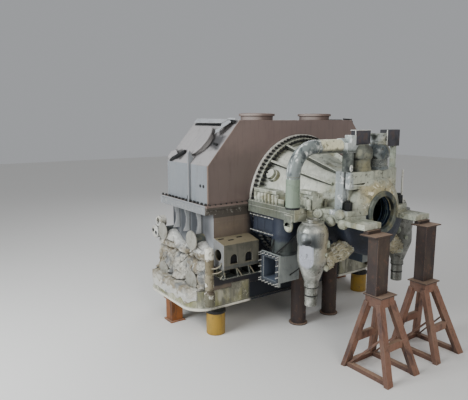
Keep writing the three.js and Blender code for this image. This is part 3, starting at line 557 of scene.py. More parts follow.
def area(middle, reach, rag, low, high, strength=1.0):
    x, y, z = middle
    return "zone", {"Middle": (x, y + FRONT, z), "Reach": reach, "Rag": rag, "Low": low, "High": high,
                    "Strength": strength}


def crevices(distance, low, high, strength):
    return "crevices", {"Distance": distance, "Low": low, "High": high, "Strength": strength}


def both(*coats):
    """Coats of the left side and their mirror images."""
    def flip(mask):
        group, values = mask
        return group, {label: (-value[0], *value[1:]) if label in {"Middle", "Axis"} else value
                       for label, value in values.items()}

    return [*coats, *[(colour, *map(flip, masks)) for colour, *masks in coats]]


def painted(name, colours, base, coats, rough=0.6, metallic=0.0, gloss=None, relief=()):
    """Material with coats over its base colour, each a colour and the masks that it keeps to. Gloss is
    the lowest and highest roughness and a mask. Relief has masks, each with a depth and a strength."""
    material = bpy.data.materials.new(name)
    material.use_nodes = True
    tree = material.node_tree
    shader = tree.nodes["Principled BSDF"]
    place = add(tree, "ShaderNodeTexCoord").outputs["Object"]

    def tone(colour):
        return (*(getattr(colours, colour, None) or ink(colour)), 1.0)

    def mask(group, values):
        node = add(tree, "ShaderNodeGroup", node_tree=bpy.data.node_groups.get(group) or GROUPS[group]())
        feed(tree, node, {"Place": place, **values} if "Place" in node.inputs else values)
        return node.outputs["Mask"]

    paint = tone(base)
    feed(tree, shader, {"Base Color": paint, "Roughness": rough, "Metallic": metallic})
    for colour, first, *others in coats:
        share = mask(*first)
        for other in others:
            share = numbers(tree, "MULTIPLY", share, mask(*other))
        mix = add(tree, "ShaderNodeMix", data_type="RGBA")
        feed(tree, mix, {MIX_SHARE: share, MIX_BELOW: paint, MIX_ABOVE: tone(colour)})
        paint = mix.outputs[MIX_RESULT]
    feed(tree, shader, {"Base Color": paint})
    if gloss:
        low, high, along = gloss
        scale = add(tree, "ShaderNodeMapRange", {"Value": mask(*along), "To Min": low, "To Max": high})
        feed(tree, shader, {"Roughness": scale.outputs["Result"]})
    below = {}
    for height, depth, strength in relief:
        bump = add(tree, "ShaderNodeBump", {"Height": mask(*height), "Distance": depth,
                                            "Strength": strength, **below})
        below = {"Normal": bump.outputs["Normal"]}
    feed(tree, shader, below)
    return material


def weathered(name, colours, base, coats, *look, dirt=0.6, wear=0.5, worn="steel", grain=0.004, **more):
    """Painted material with run marks, worn edges, dirt and painted shade in its corners and a grainy
    surface.
    """
    # Run marks of dirt, and the corners darkened along an occlusion mask: dirt and painted shade together
    weathering_and_shade = [("soot", cloud(1.6, 0.5, 0.75, dirt * 0.5, stretch=(7, 7, 0.6))),
           (worn, ("worn edges", {"Radius": 0.018, "Low": 0.02, "High": 0.2, "Strength": wear})),
           ("soot", crevices(0.25, 0.25, 0.85, dirt))]
    surface = [(cloud(40, 0.2, 0.8), grain, 0.5), (cloud(3.5, 0.2, 0.8), grain * 2.5, 0.35)]
    return painted(name, colours, base, [*coats, *weathering_and_shade], *look, relief=surface, **more)


def finishes(c):
    """Every material by the name that the pieces call it, from the colours."""
    made = {}

    def paint(key, name, base, coats, *look, **more):
        made[key] = weathered(name, c, base, coats, *look, **more)

    def casting(key, name, base, pale, olive, rough=0.45):
        """Mottled paint, with a painted highlight on the cone's flanks and painted shade under the ribs."""
        paint(key, name, base, [
            (olive, cloud(2.2, 0.47, 0.62, 0.75)),
            (pale, cloud(3.6, 0.5, 0.66, 0.85, shift=(2, 5, 3))),
            ("938c66", cloud(1.5, 0.48, 0.64, 0.6, shift=(7, 1, 1))),
            ("3a352b", cloud(11, 0.58, 0.68, 0.8, shift=(1, 3, 8))),
            # Undersides of the ribs near black: painted shade
            *both(("2a2d2b", face((-0.8, 0, -0.6), 0.78, 0.92, 0.9))),
            # Faces turned up and to the left on the cone's flanks paler: painted highlight
            *both(("e2e3d6", area((-1.4, -0.9, 4.3), (1.2, 1.0, 0.9), 0.3, 0.4, 0.7, 0.6),
                   face((-0.75, -0.25, 0.6), 0.72, 0.92)),
                  ("484e45", area((-1.9, -1.2, 3.5), (0.5, 3, 0.24), 0.0, 0.45, 0.55),
                   face(LEFT, 0.8, 0.97, 0.8))),
        ], rough, 0.0, (rough - 0.12, rough + 0.2, cloud(5, 0.3, 0.7)), dirt=0.7, wear=0.7,
            worn="dcdbc9", grain=0.006)

    def stand(key, name, base, pale, dark):
        """Streaky primer with paler tops and darker left and right faces: painted light and shade."""
        paint(key, name, base, [
            (pale, cloud(1.6, 0.48, 0.7, 0.7, stretch=(1, 1, 0.6))),
            (dark, cloud(2.4, 0.5, 0.7, 0.8, stretch=(1.5, 1.5, 0.6), shift=(4, 4, 1))),
            ("rust", cloud(9, 0.55, 0.7, 0.7, shift=(2, 6, 2))),
            # Paler tops and darker sides: painted light and shade
            ("a58b76", face(UP, 0.5, 0.9, 0.7)),
            ("2a2120", face((1, 0, 0), 0.5, 0.9, 0.6)),
            ("2a2120", face(LEFT, 0.5, 0.9, 0.45)),
        ], 0.65, dirt=0.7, wear=0.5, worn="a3866f")

    # Upper hood: brown primer in front and pale blue grey sides, a difference that is partly paint and
    # partly painted light, the sides and slopes lit and the front shaded; soot and painted shadow under the
    # sheets on the slope
    slope = face(SLOPE_NORMAL, 0.9, 0.97)
    front = area((0, -1.0, 4.7), (3.5, 1.02, 1.4), 0.0, 0.49, 0.51)
    paint("hood", "hood paint", "hood_side", [
        ("8f9092", cloud(0.9, 0.45, 0.75, 0.6, stretch=(1, 1, 0.5))),
        *both(("hood_slope", slope)),
        # Soot and painted shadow under the cover sheet, and a dark patch under the rear lug plate, painted
        # shadow and scorch
        *both(("soot", slope, area((-2.70, 0.38, 5.24), (0.17, 0.30, 0.20), 0.25, 0.25, 0.9, 0.8)),
              ("33302e", area((-3.02, 1.9, 4.85), (0.3, 0.40, 0.13), 0.2, 0.35, 0.7, 0.85))),
        ("hood_front", front),
        ("7d6a66", front, cloud(0.6, 0.4, 0.7, 0.7)),
        ("695c57", front, area((-2.6, 0, 4.3), (1.5, 1, 0.9), 0.5, 0.3, 1.1, 0.75)),
        ("7b6a63", face(UP, 0.9, 0.97)),
    ], 0.5, 0.0, (0.42, 0.62, cloud(1.5, 0.4, 0.6)), dirt=0.4, wear=0.6, worn="hood_edge", grain=0.0015)
    paint("hood_trim", "hood trim paint", "a9abae", [
        ("8b8c90", cloud(1.6, 0.45, 0.7, 0.7)),
        ("bebdb9", cloud(5, 0.55, 0.7, 0.5, shift=(3, 3, 3))),
        # Undersides of the sheets and bars near black: painted shade
        *both(("1b1b1d", face((-0.4, -0.5, -0.75), 0.25, 0.75, 0.95))),
    ], 0.55, dirt=0.6, wear=0.7, worn="d3d1cb", grain=0.002)
    paint("relief", "relief disc paint", "hood_slope", [("9a989a", cloud(2.0, 0.45, 0.7, 0.7))], 0.5,
          dirt=0.4, wear=0.35, worn="b9b7b2", grain=0.002)
    paint("stub", "roof stub paint", "7d6a62", [
        ("5d4e49", cloud(2, 0.45, 0.7, 0.7)),
        # Faces turned to the left paler: painted highlight
        ("a99c94", face((-0.9, -0.4, 0), 0.6, 0.95, 0.7)),
    ], dirt=0.4, wear=0.5, worn="a3948b", grain=0.002)

    # Lower hood: brown front with painted shade in its middle under the casing, pale ribs over a side wall
    # darkened as painted shade
    ledge = area((0, 1.2, 3.45), (3.4, 1.25, 0.105), 0.0, 0.47, 0.53)
    paint("lower_hood", "lower hood paint", "lower_hood", [
        ("655a50", cloud(0.8, 0.4, 0.7, 0.8)),
        ("84765f", cloud(2.2, 0.52, 0.75, 0.6)),
        # Middle of the front under the casing, and a band along its foot, near black: painted shade
        ("1d222e", area((0, -0.2, 2.3), (1.9, 0.4, 1.13), 0.06, 0.42, 0.58, 0.95)),
        ("1d222e", area((0, -0.2, 1.7), (3.3, 0.4, 0.35), 0.08, 0.40, 0.60, 0.85)),
        # Fins pale, their front faces painted lighter and their outer edges darker, as painted light and
        # shade; the side wall between them and the corner panel near black, painted shade
        *both(("909295", area((-3.35, 1.2, 3.0), (0.305, 1.7, 0.9), 0.0, 0.48, 0.52)),
              ("5c5e60", area((-3.37, 1.2, 2.8), (0.29, 1.7, 0.55), 0.0, 0.48, 0.52), face(LEFT, 0.6, 0.9)),
              ("c6c8c9", area((-3.37, 1.2, 2.8), (0.29, 1.15, 0.55), 0.0, 0.48, 0.52),
               face(FORWARD, 0.6, 0.9)),
              ("202226", area((-3.05, 0.60, 3.2), (0.03, 0.55, 0.62), 0.01, 0.1, 1.05, 0.75)),
              *[("303338", area((-3.05, y, 2.95), (0.03, 0.30, 0.6), 0.03, 0.2, 0.95, 0.9))
                for y in (2.15, 1.53, 0.92)]),
        ("828486", ledge),
        ("4f4943", area((0, -0.1, 3.45), (3.4, 0.115, 0.2), 0.0, 0.47, 0.53)),
        ("b5b3aa", ledge, cloud(14, 0.53, 0.68, 0.6)),
    ], dirt=0.5, wear=0.4, worn="8f8674", grain=0.003)
    paint("foot", "foot paint", "67655a", [
        ("4f4e46", cloud(1.8, 0.45, 0.65, 0.8)),
        ("8a8069", cloud(5, 0.57, 0.7, 0.5, shift=(3, 3, 3))),
        # Tops and left faces paler: painted light where the lamps fall
        ("857a62", face(UP, 0.4, 0.8, 0.9)),
        *both(("818180", face(LEFT, 0.5, 0.8, 0.9))),
        ("4a4d4c", area((0, -0.40, 1.93), (3.2, 0.3, 0.10), 0.05, 0.3, 0.8, 0.8)),
    ], dirt=0.6, wear=0.8, worn="bdb191")

    # Neck: cream stained green and grey, its front dark between the corner panels
    panel_shade = ("1b212c", area((0, -0.05, 0.98), (1.86, 0.3, 0.6), 0.03, 0.45, 0.55, 0.97))
    paint("neck", "neck paint", "neck", [
        ("neck_stain", cloud(1.3, 0.40, 0.60, 0.8, stretch=(1.4, 1.4, 0.7))),
        ("6b6a5e", cloud(3.0, 0.42, 0.6, 0.85, shift=(5, 2, 1), stretch=(1.5, 1.5, 0.5))),
        ("c9c6b4", cloud(9, 0.57, 0.7, 0.7, shift=(1, 7, 1))),
        panel_shade, panel_shade,
        *both(("e6e3d3", area((-3.0, 1.5, 0.70), (1.15, 1.9, 0.075), 0.0, 0.45, 0.55, 0.9))),
    ], dirt=0.7, wear=0.6, worn="d9d5c4")
    paint("corner", "corner pipe cover", "94917d", [
        *[(shade, area((0, -0.1, height), (5, 1, reach), 0.05, 0.4, 0.6, 0.9)) for height, reach, shade in (
            (1.99, 0.21, "75694f"), (2.44, 0.24, "e2dfd0"), (1.30, 0.06, "4a3c2c"),
            (1.57, 0.20, "8a8069"), (1.06, 0.17, "646250"))],
        ("5c5442", cloud(8, 0.50, 0.62, 0.8, shift=(3, 1, 3))),
        ("e8e5d8", cloud(6, 0.56, 0.64, 0.8, shift=(6, 2, 3))),
    ], 0.7, dirt=0.6, wear=0.5, worn="dcd8ca", grain=0.008)

    # Castings
    casting("casting", "casting paint", "casting", "casting_pale", "casting_olive")
    casting("olive_casting", "olive casting paint", "7b7d6d", "a3a48f", "4a4638")
    casting("girder", "girder paint", "474d4b", "6b726b", "272b2d")
    casting("collar", "collar paint", "4f5652", "757a6e", "303636")
    casting("tower", "tower paint", "646c6d", "8f9694", "3a4246", 0.28)
    casting("left_tower", "left tower paint", "63665c", "8a8a76", "3d3c35")
    casting("cap", "tower cap paint", "9da4a2", "cdd1cb", "6c7471", 0.35)
    casting("green_pipe", "green pipe paint", "b3bbab", "cfd3c4", "8f9786")
    paint("ring", "ring paint", "ring", [
        ("7a786a", cloud(3, 0.45, 0.65, 0.7)),
        ("c0b6a8", cloud(6, 0.5, 0.65, 0.6, shift=(2, 5, 3))),
        ("2f2d29", cloud(12, 0.6, 0.7, 0.6, shift=(1, 3, 8))),
    ], 0.5, dirt=0.65, wear=0.8, worn="e2ddcd", grain=0.003)
    # Lower halves and fittings below the joint in dark navy: painted shade under the joint flange
    paint("dark", "dark casting", "casting_dark", [
        ("171a22", cloud(1.4, 0.4, 0.65, 0.85)),
        ("3c4254", cloud(4, 0.55, 0.72, 0.55, shift=(4, 4, 1))),
        ("5d6662", cloud(9, 0.6, 0.75, 0.5, shift=(2, 4, 6))),
        *both(("4b514a", area((-1.56, -1.15, 2.52), (0.45, 0.45, 0.22), 0.15, 0.4, 0.9, 0.75)),
              ("333945", area((-1.89, -0.66, 3.06), (0.05, 0.42, 0.17), 0.03, 0.4, 0.7, 0.75))),
    ], 0.5, dirt=0.7, wear=0.3, worn="6c7380", grain=0.006)
    paint("duct", "duct paint", "a3aaa7", [
        ("868d8b", cloud(2.2, 0.47, 0.64, 0.7)),
        # Left face near black: painted shade of the duct's open end
        *both(("1d222b", face(LEFT, 0.6, 0.9, 0.95)),
              ("525b68", area((-1.60, -1.155, 1.98), (0.455, 0.30, 0.34), 0.0, 0.47, 0.53))),
        ("55452f", cloud(9, 0.6, 0.7, 0.5, shift=(1, 3, 8))),
    ], 0.5, dirt=0.7, wear=0.7, worn="dcdbc9", grain=0.006)

    # Front casing: golden dome, silver left flank, pale green chest
    golden = area((0.0, -2.95, 3.95), (0.66, 0.35, 0.36), 0.3, 0.3, 0.8)
    silver = area((-1.1, -2.5, 4.2), (0.2, 0.4, 0.75), 0.2, 0.4, 0.7)
    paint("front", "front casing paint", "aeb1a0", [
        ("66665a", cloud(2.6, 0.5, 0.66, 0.65)),
        ("cfceb8", cloud(4.5, 0.54, 0.66, 0.8, shift=(2, 5, 3))),
        ("golden", golden, cloud(3.2, 0.34, 0.54, shift=(5, 1, 1))),
        ("6d6a55", golden, cloud(4.4, 0.53, 0.64, 0.8, shift=(3, 1, 7))),
        ("f3ecd0", golden, cloud(7.5, 0.56, 0.64, shift=(8, 1, 4))),
        ("c4c8b6", area((-0.6, -2.88, 4.45), (0.40, 0.06, 0.2), 0.02, 0.45, 0.55, 0.85)),
        ("silver", silver),
        ("f4f6f4", silver, cloud(6, 0.52, 0.62)),
        ("3a352b", cloud(11, 0.58, 0.68, 0.8, shift=(1, 3, 8))),
    ], 0.4, 0.0, (0.22, 0.55, cloud(5, 0.3, 0.7)), dirt=0.85, wear=0.75, worn="e9e6cf", grain=0.006)
    paint("seal", "seal ring steel", "2f405c", [("6f8076", cloud(6, 0.5, 0.65, 0.7))], 0.35, 0.4,
          dirt=0.5, wear=0.5, worn="9fb0a6")

    # Inlet: a silver white block with a dark leg, and a pipe with a yellow run and a silvery bend, whose
    # bright and dark streaks are painted reflections
    leg = area((-0.9, -2.65, 4.70), (0.5, 0.5, 0.42), 0.12, 0.4, 0.6)
    paint("inlet", "inlet block paint", "c3c9c6", [
        ("8d9694", cloud(4, 0.48, 0.62, 0.7)),
        ("e9ece8", cloud(6, 0.55, 0.65, 0.8, shift=(3, 1, 3))),
        ("6a706a", leg),
        ("363d3d", leg, cloud(5, 0.46, 0.66, 0.9, shift=(6, 1, 3))),
        ("9aa095", leg, cloud(8, 0.6, 0.7, 0.7, shift=(1, 8, 3))),
    ], 0.38, dirt=0.6, wear=0.6, worn="f2f4f0", grain=0.005)
    bend = area((-2.3, -2.5, 5.2), (1.4, 1.5, 0.68), 0.02, 0.47, 0.53)
    run = area((-1.25, -2.5, 5.3), (0.5, 1, 0.6), 0.15, 0.45, 0.55)
    paint("green_steel", "elbow pipe paint", "82907f", [
        ("7c8482", bend),
        # Bright and dark streaks along the bend: painted reflections
        ("e8ece6", bend, cloud(4, 0.52, 0.62, stretch=(1, 3, 1))),
        ("2c3538", bend, cloud(2.6, 0.48, 0.60, 0.85, shift=(3, 3, 1), stretch=(1.6, 1.6, 1))),
        ("f0ecc9", run),
        ("77745c", run, cloud(6, 0.52, 0.64, 0.8)),
        ("efe8c8", run, cloud(9, 0.55, 0.66, shift=(4, 4, 4))),
        # Undersides near black: painted shade
        ("232830", face((0.3, -0.15, -0.94), 0.25, 0.8, 0.9)),
    ], 0.34, 0.0, (0.2, 0.5, cloud(4, 0.3, 0.7)), dirt=0.5, wear=0.5, worn="eef0ea", grain=0.002)
    paint("tower_box", "rusty box paint", "47464d", [
        ("5d4f4a", cloud(5, 0.5, 0.65, 0.8)),
        ("2a2d31", cloud(3, 0.5, 0.65, 0.8, shift=(3, 1, 3))),
        ("2a2a2f", face(LEFT, 0.6, 0.9, 0.9)),
    ], dirt=0.5, wear=0.4, worn="b9bbb8")

    # Stop valve: silver body, tan heat tint near the top, a lilac white facet painted as a highlight,
    # painted reflection and shade under the ball, and the right-hand valve darkened as painted shade
    ball = area((-1.94, -2.45, 3.0), (0.24, 0.3, 0.2), 0.0, 0.3, 0.9)
    paint("valve", "stop valve paint", "999a93", [
        ("565b53", cloud(2.6, 0.47, 0.66, 0.7)),
        ("c6c7bf", cloud(4.2, 0.50, 0.68, 0.8, shift=(2, 5, 3))),
        ("tan", area((-1.42, -2.6, 2.95), (0.40, 0.5, 0.5), 0.3, 0.3, 0.9, 0.6)),
        ("7d8282", ball),
        # Lower side of the ball near black: painted dark reflection and shade
        ("14181c", ball, face((-0.45, -0.6, -0.66), 0.55, 0.9, 0.9)),
        # The right-hand valve darker: painted shade
        ("2d302c", area((1.75, -2.4, 2.4), (0.6, 0.7, 1.3), 0.1, 0.4, 0.6, 0.35)),
        # Lilac white on the flat facet that faces the window light: painted highlight
        ("aeb1ba", face(VALVE_FACET, 0.985, 0.995),
         area((-2.0, -2.45, 2.42), (0.12, 0.35, 0.62), 0.0, 0.45, 0.55)),
        ("3b3a33", cloud(10, 0.6, 0.7, 0.7, shift=(1, 3, 8))),
    ], 0.3, 0.5, (0.22, 0.5, cloud(5, 0.3, 0.7)), dirt=0.7, wear=0.7, worn="f0efe6")

    # Fasteners, and black paint as the shade inside holes and openings
    paint("bolts", "bolt steel", "steel", [("4d463d", cloud(8, 0.45, 0.65, 0.8))], 0.42, 0.6,
          dirt=0.5, wear=0.5, worn="d5d5cf")
    paint("bright", "bright studs", "e3e3da", [("a5a48f", cloud(11, 0.5, 0.65, 0.6))], 0.3, 0.35,
          dirt=0.2, wear=0.6, worn="ffffff")
    # Black steel for bolts and caps, also for sheets and discs that are painted shade
    paint("black", "black bolts", "1d1f21", [("4b463e", cloud(12, 0.55, 0.7, 0.6))], 0.5, 0.3,
          dirt=0.4, wear=0.25, worn="7a786f")
    # Near black for the inside of holes and openings: painted shade
    made["hollow"] = painted("dark hollows", c, "08080c", [("15141b", cloud(9, 0.5, 0.65, 0.7))], 0.9)

    # Stands
    stand("column", "column primer", "column", "544536", "292023")
    stand("trestle", "trestle primer", "trestle", "8d6f5c", "3b2a2a")
    stand("plate", "plate primer", "8d8b78", "b0a88e", "4c453c")
    stand("orange", "stool paint", "a5632c", "c08a50", "553824")
    paint("yellow", "post paint", "yellow", [
        ("8d7537", cloud(3, 0.45, 0.65, 0.8)),
        ("4f4a3a", cloud(7, 0.6, 0.7, 0.8, shift=(3, 1, 5))),
    ], 0.5)

    # Wrapping: cream with tan and blue grey bundles, white along its top and its hem
    made["wrapping"] = painted("wrapping cloth", c, "wrapping", [
        ("a39477", cloud(1.6, 0.40, 0.56, 0.85)),
        ("878d93", cloud(2.1, 0.5, 0.62, 0.7, shift=(4, 1, 4))),
        ("eeebdf", cloud(5, 0.54, 0.64, 0.75, shift=(9, 1, 4))),
        *both(*[("faf9f2", area((-3.4, 1.3, height), (0.6, 1.4, reach), 0.6, 0.3, 0.7, share))
                for height, reach, share in ((2.48, 0.22, 0.95), (0.98, 0.13, 0.7))]),
        # Creases darkened along an occlusion mask: painted shade
        ("35312a", crevices(0.20, 0.22, 0.75, 0.9)),
    ], 0.75, relief=[(cloud(10, 0.3, 0.7, warp=1.8), 0.05, 0.9), (cloud(50, 0.3, 0.7), 0.004, 0.4)])
    made["lagging"] = painted("lagging wool", c, "lagging", [
        ("6d6650", cloud(9, 0.5, 0.6, 0.75, stretch=(0.5, 1.6, 1.6))),
        ("e8e6d8", cloud(12, 0.5, 0.6, 0.9, stretch=(0.5, 1.6, 1.6), shift=(3, 3, 3))),
        ("8e8f78", cloud(3, 0.5, 0.7, 0.6, shift=(1, 8, 1))),
        # Hollows between the tufts darkened along an occlusion mask: painted shade
        ("soot", crevices(0.15, 0.4, 0.95, 0.7)),
    ], 0.9, relief=[(cloud(25, 0.3, 0.7, warp=2.0), 0.03, 0.8)])
    paint("disc", "blanking disc", "98968c", [
        ("7d7a6d", cloud(5, 0.45, 0.65, 0.8)),
        ("b5b3a9", cloud(9, 0.55, 0.7, 0.6, shift=(3, 1, 3))),
    ], 0.7, dirt=0.4, wear=0.6, worn="cfcdc3", grain=0.003)
    return made


MADE = {}


def paints():
    """The finished materials, made once."""
    if not MADE:
        MADE.update(finishes(bpy.context.scene.turbine_colours))
    return MADE


# The pieces. Each maker gets the sizes.

def slope_point(y, share, lift=0.0):
    """Point on the left sloping face of the hood; share runs from its shoulder to its roof edge."""
    run, rise = HOOD_SIDE - ROOF_SIDE, ROOF - SHOULDER
    length = hypot(run, rise)
    return (-HOOD_SIDE + run * share - rise / length * lift, y,
            SHOULDER + rise * share + run / length * lift)


def slope_disc(bm, y, share, radius, lift, tilt):
    """Round plate on a dark neck over the sloping face, its front edge raised by the tilt."""
    slope = atan2(ROOF - SHOULDER, HOOD_SIDE - ROOF_SIDE)
    seat = Matrix.Translation(slope_point(y, share)) @ Matrix.Rotation(-slope, 4, "Y")
    placed(bm, seat, upright, [(0, 0), (radius * 0.78, 0), (radius * 0.70, lift), (0, lift)])
    lean = seat @ Matrix.Translation((0, 0, lift)) @ Matrix.Rotation(-tilt, 4, "X")
    placed(bm, lean, upright, [(0, 0), (radius * 0.985, 0), (radius, 0.008), (radius, 0.03),
                               (radius * 0.985, 0.038), (0, 0.038)])


def slope_plate(bm, outline, lifts, thickness=0.02):
    """Thin sheet over the sloping face, with a lift from it at each corner."""
    rows = [[bm.verts.new(slope_point(y, share, lift + rise)) for (y, share), lift in zip(outline, lifts)]
            for rise in (0.0, thickness)]
    skin(bm, rows, wrap_columns=True)
    for row in (rows[0], rows[1][::-1]):
        middle = bm.verts.new(sum((vert.co for vert in row), Vector()) / len(row))
        for k, vert in enumerate(row):
            bm.faces.new((vert, row[(k + 1) % len(row)], middle))


def make_hood(sizes):
    dressed("upper_exhaust_hood", "hood_top", "hood", "hood_paint", sizes.bevel * 1.5, [
        (tube, [(side * HOOD_SIDE, 0.0, FLANGE_TOP), (side * HOOD_SIDE, 0.0, SHOULDER),
                (side * ROOF_SIDE, 0.0, ROOF)], 0.014, 8) for side in SIDES])
    pair_of("roof_edge_plate", "hood_trim", [
        (slope_plate, [(0.40, 0.985), (0.62, 0.885), (2.10, 0.885), (2.10, 1.0)], [0.05, 0.07, 0.07, 0.05]),
        (slope_plate, [(0.06, 0.955), (0.06, 0.985), (0.42, 0.995), (0.42, 0.955)], [0.09] * 4)])
    pair_of("roof_edge_shade", "black", [
        (slope_plate, [(0.70, 0.862), (0.70, 0.90), (2.08, 0.90), (2.08, 0.862)], [0.001] * 4, 0.03),
        (slope_plate, [(0.05, 0.90), (0.05, 0.955), (0.34, 0.965), (0.30, 0.915)], [0.04] * 4, 0.04)])
    sheet = [(0.14, 0.90), (0.16, 0.82), (0.19, 0.77), (0.26, 0.71), (0.27, 0.64), (0.40, 0.625),
             (0.46, 0.605), (0.49, 0.65), (0.62, 0.715), (0.50, 0.78), (0.60, 0.90), (0.36, 0.97)]
    lifts = [0.10, 0.14, 0.16, 0.17, 0.17, 0.15, 0.13, 0.12, 0.10, 0.09, 0.06, 0.07]
    pair_of("slope_cover_sheet", "hood_trim", [(slope_plate, sheet, lifts, 0.015)])
    pair_of("relief_disc", "relief", [
        (slope_disc, 1.02, 0.46, 0.50, 0.095, radians(8.5))], "relief_cover", 0.004)
    pair_of("slope_lug_plate", "relief", [
        (slope_plate, [(2.17, 0.04), (2.20, 0.17), (2.04, 0.235), (1.84, 0.16), (1.95, 0.0)],
         [0.06, 0.07, 0.05, 0.03, 0.05], 0.03)], bevel=0.004)
    # Black plate as the painted shadow of the rear lug plate, with a small dark bar and a dark dot
    pair_of("slope_lug_fin", "black", [
        (slope_plate, [(1.98, -0.02), (1.94, 0.06), (1.52, 0.25), (1.50, 0.20)], [0.02] * 4, 0.07),
        (bar, slope_point(0.42, 0.46, 0.03), slope_point(0.22, 0.44, 0.03), 0.03, 0.06),
        (disc, slope_point(1.27, 0.14), SLOPE_NORMAL, 0.035, 0.015)])
    pair_of("roof_stub", "stub", [
        (upright, [(0, 0), (0.465, 0), (0.465, 0.11), (0.52, 0.12), (0.52, 0.18), (0.44, 0.2), (0.43, 0.17),
                   (0, 0.17)], -1.15, 0.60, ROOF)], "relief_stub", 0.008)
    pin = (-3.262, 0.97, HOOD_LEDGE)
    # Two black discs as dark holes in the side, painted shade, and a pin with its collar
    pair_of("side_plugs", "black", [
        *[(disc, (-HOOD_SIDE - 0.022, y, 4.10), LEFT, 0.045, 0.012) for y in (0.35, 0.19)],
        (disc, pin, UP, 0.026, 0.17), (disc, pin, UP, 0.042, 0.05)])
    side_run = [(-3.265, y, HOOD_LEDGE) for y in (0.06, 2.48)]
    fasteners("hood_joint_bolts", both_sides((side_run, UP)), "black", sizes.joint_bolt_pitch,
              (0.036, 0.05), (0.02, 0.065))
    front_run = [(x, -0.035, HOOD_LEDGE) for x in (-3.18, -1.95)]
    fasteners("hood_front_bolts", both_sides((front_run, UP)), "black", 0.155, (0.022, 0.028),
              (0.012, 0.04))


def make_lower_hood(sizes):
    dressed("lower_exhaust_hood", "hood_bottom", "lower_hood", "hood_paint", sizes.bevel, [
        (box, (-LOWER_SIDE, LOWER_SIDE), (-0.006, 0.012), (z, z + 0.022)) for z in (3.12, 1.66)])
    dressed_pairs(("hood_foot", "foot_box", "foot", "hood_paint", 0.012),
                  ("foot_girder", "foot_beam", "girder", "hood_paint", 0.006))
    # Black boxes in the arches and slots of the feet: painted shade inside the openings
    openings = [(box, (x - 0.112, x + 0.112), (-0.42, -0.38), (2.07, 2.32)) for x in (-2.72, -2.23)]
    for x, y in ((-2.90, -0.12), (-2.66, -0.24), (-2.32, -0.15)):
        roof = 2.71 + 0.227 * y
        openings.append((box, (x - 0.085, x + 0.085), (y - 0.025, y + 0.025), (roof - 0.02, roof + 0.008)))
    pair_of("foot_openings", "hollow", openings)
    pair_of("girder_braces", "plate", [
        *[(bar, (x, -0.47, 1.92), (x + 0.16, -0.47, 1.69), 0.025, 0.035, BACK) for x in (-2.62, -2.20)],
        (tube, [(-3.30, -0.20, 1.95), (-3.17, -0.30, 1.96), (-3.10, -0.36, 2.02), (-3.06, -0.38, 2.10),
                (-3.02, -0.38, 2.04), (-2.99, -0.38, 1.90), (-3.01, -0.37, 1.75), (-3.08, -0.35, 1.66)],
         0.022, 12),
        (tube, [(-3.30, -0.18, 1.80), (-3.16, -0.34, 1.84), (-3.02, -0.40, 1.90), (-2.85, -0.42, 1.94)],
         0.016, 10)])
    piece_of("rear_gland_ring", "casting", [
        (hoop, [(0.43, 2.2503), (0.70, 2.2503), (0.70, 2.31), (0.57, 2.32), (0.53, 2.52), (0.43, 2.52)])],
        ["rear_gland_housing"], 0.01)
    circle = [(x, 2.31, JOINT + z) for x, z in arc(0.635, 0, 345, 46)]
    fasteners("rear_gland_studs", [(circle, BACK)], "bolts", 0.166, (0.026, 0.03), (0.014, 0.05))


def make_neck(sizes):
    dressed("exhaust_neck", "neck_shell", "neck", "neck_paint", 0.012)
    outline = [(-3.08, 0.78), (-3.08, 1.23), (-2.47, 1.23), (-2.47, 1.35), (-1.86, 1.35), (-1.86, 0.78)]
    pair_of("neck_panels", "neck", [
        (prism, outline, "Y", -0.020, -0.0005),
        *[(box, (x, x + width), (-0.030, -0.012), (0.80, top))
          for x, width, top in ((-3.06, 0.40, 1.21), (-2.63, 0.40, 1.21), (-2.19, 0.31, 1.33))]],
        "neck_cover", 0.006)

    reach, turn, wrapped_foot = 0.75, radians(15), 1.62
    x, y = -3.08 - reach * sin(turn), 0.60 - reach * cos(turn)
    pipe = drawn([(upright, [
        (0, 0.90), (0.145, 0.90), (0.15, 0.93), (0.148, 1.22), (0.14, 1.26), (0.112, 1.27), (0.118, 1.30),
        (0.122, 1.60), (0.117, wrapped_foot), (0.118, 2.05), (0.122, 2.08), (0.12, 2.40), (0.10, 2.49),
        (0, 2.50)], x, y, 0, 48)])
    for vert in pipe.verts:
        away = Vector((vert.co.x - x, vert.co.y - y, 0))
        if vert.co.z > wrapped_foot and away.length > 0.01:
            vert.co -= away.normalized() * abs(noise.fractal(vert.co * 9, 1.0, 2.0, 3) * 0.010)
    pair_of("neck_corner_pipe", "corner", pipe, "corner_pipe", 0.004)


def make_rings(sizes):
    band = [(1.30, -0.001), (1.30, -0.08), (RING_RADIUS, -0.08), (RING_RADIUS, -0.001)]
    for label, part, paint, slot in (("top", "upper", "ring", "casting_paint"),
                                     ("bottom", "lower", "dark", "dark_casting")):
        piece_of(f"hood_ring_{label}", paint, [(half_hoop, band, part == "upper", 120)],
                 [f"{part}_hood_ring"], 0.01)
    pitch, radius = sizes.ring_stud_pitch, sizes.ring_stud_radius
    for label, low, high, paint in (("", 3.5, 176.5, "black"), ("_below", 187, 353, "bolts")):
        inner = [(x, CASING_FRONT, JOINT + z) for x, z in arc(1.700, low, high, 90)]
        fasteners(f"ring_studs{label}", [(inner, FORWARD)], paint, pitch, (radius * 1.15, 0.06),
                  (0.024, 0.12))
        outer = [(x, -0.08, JOINT + z) for x, z in arc(1.815, low + 1, high - 1, 90)]
        fasteners(f"ring_edge_nuts{label}", [(outer, FORWARD)], paint, pitch * 1.1, (radius * 0.95, 0.075),
                  (0.018, 0.12))


# Radius and Y down the outside of the cone, and half width and Y round its joint flange
CONE = [(1.60, -0.20), (1.585, -0.30), (1.54, -0.42), (1.29, -1.00), (1.08, -1.50), (0.95, -2.00)]
WING = [(1.96, -0.0803), (1.98, -0.40), (1.98, -2.00), (1.56, -2.00), (1.25, -2.4397)]


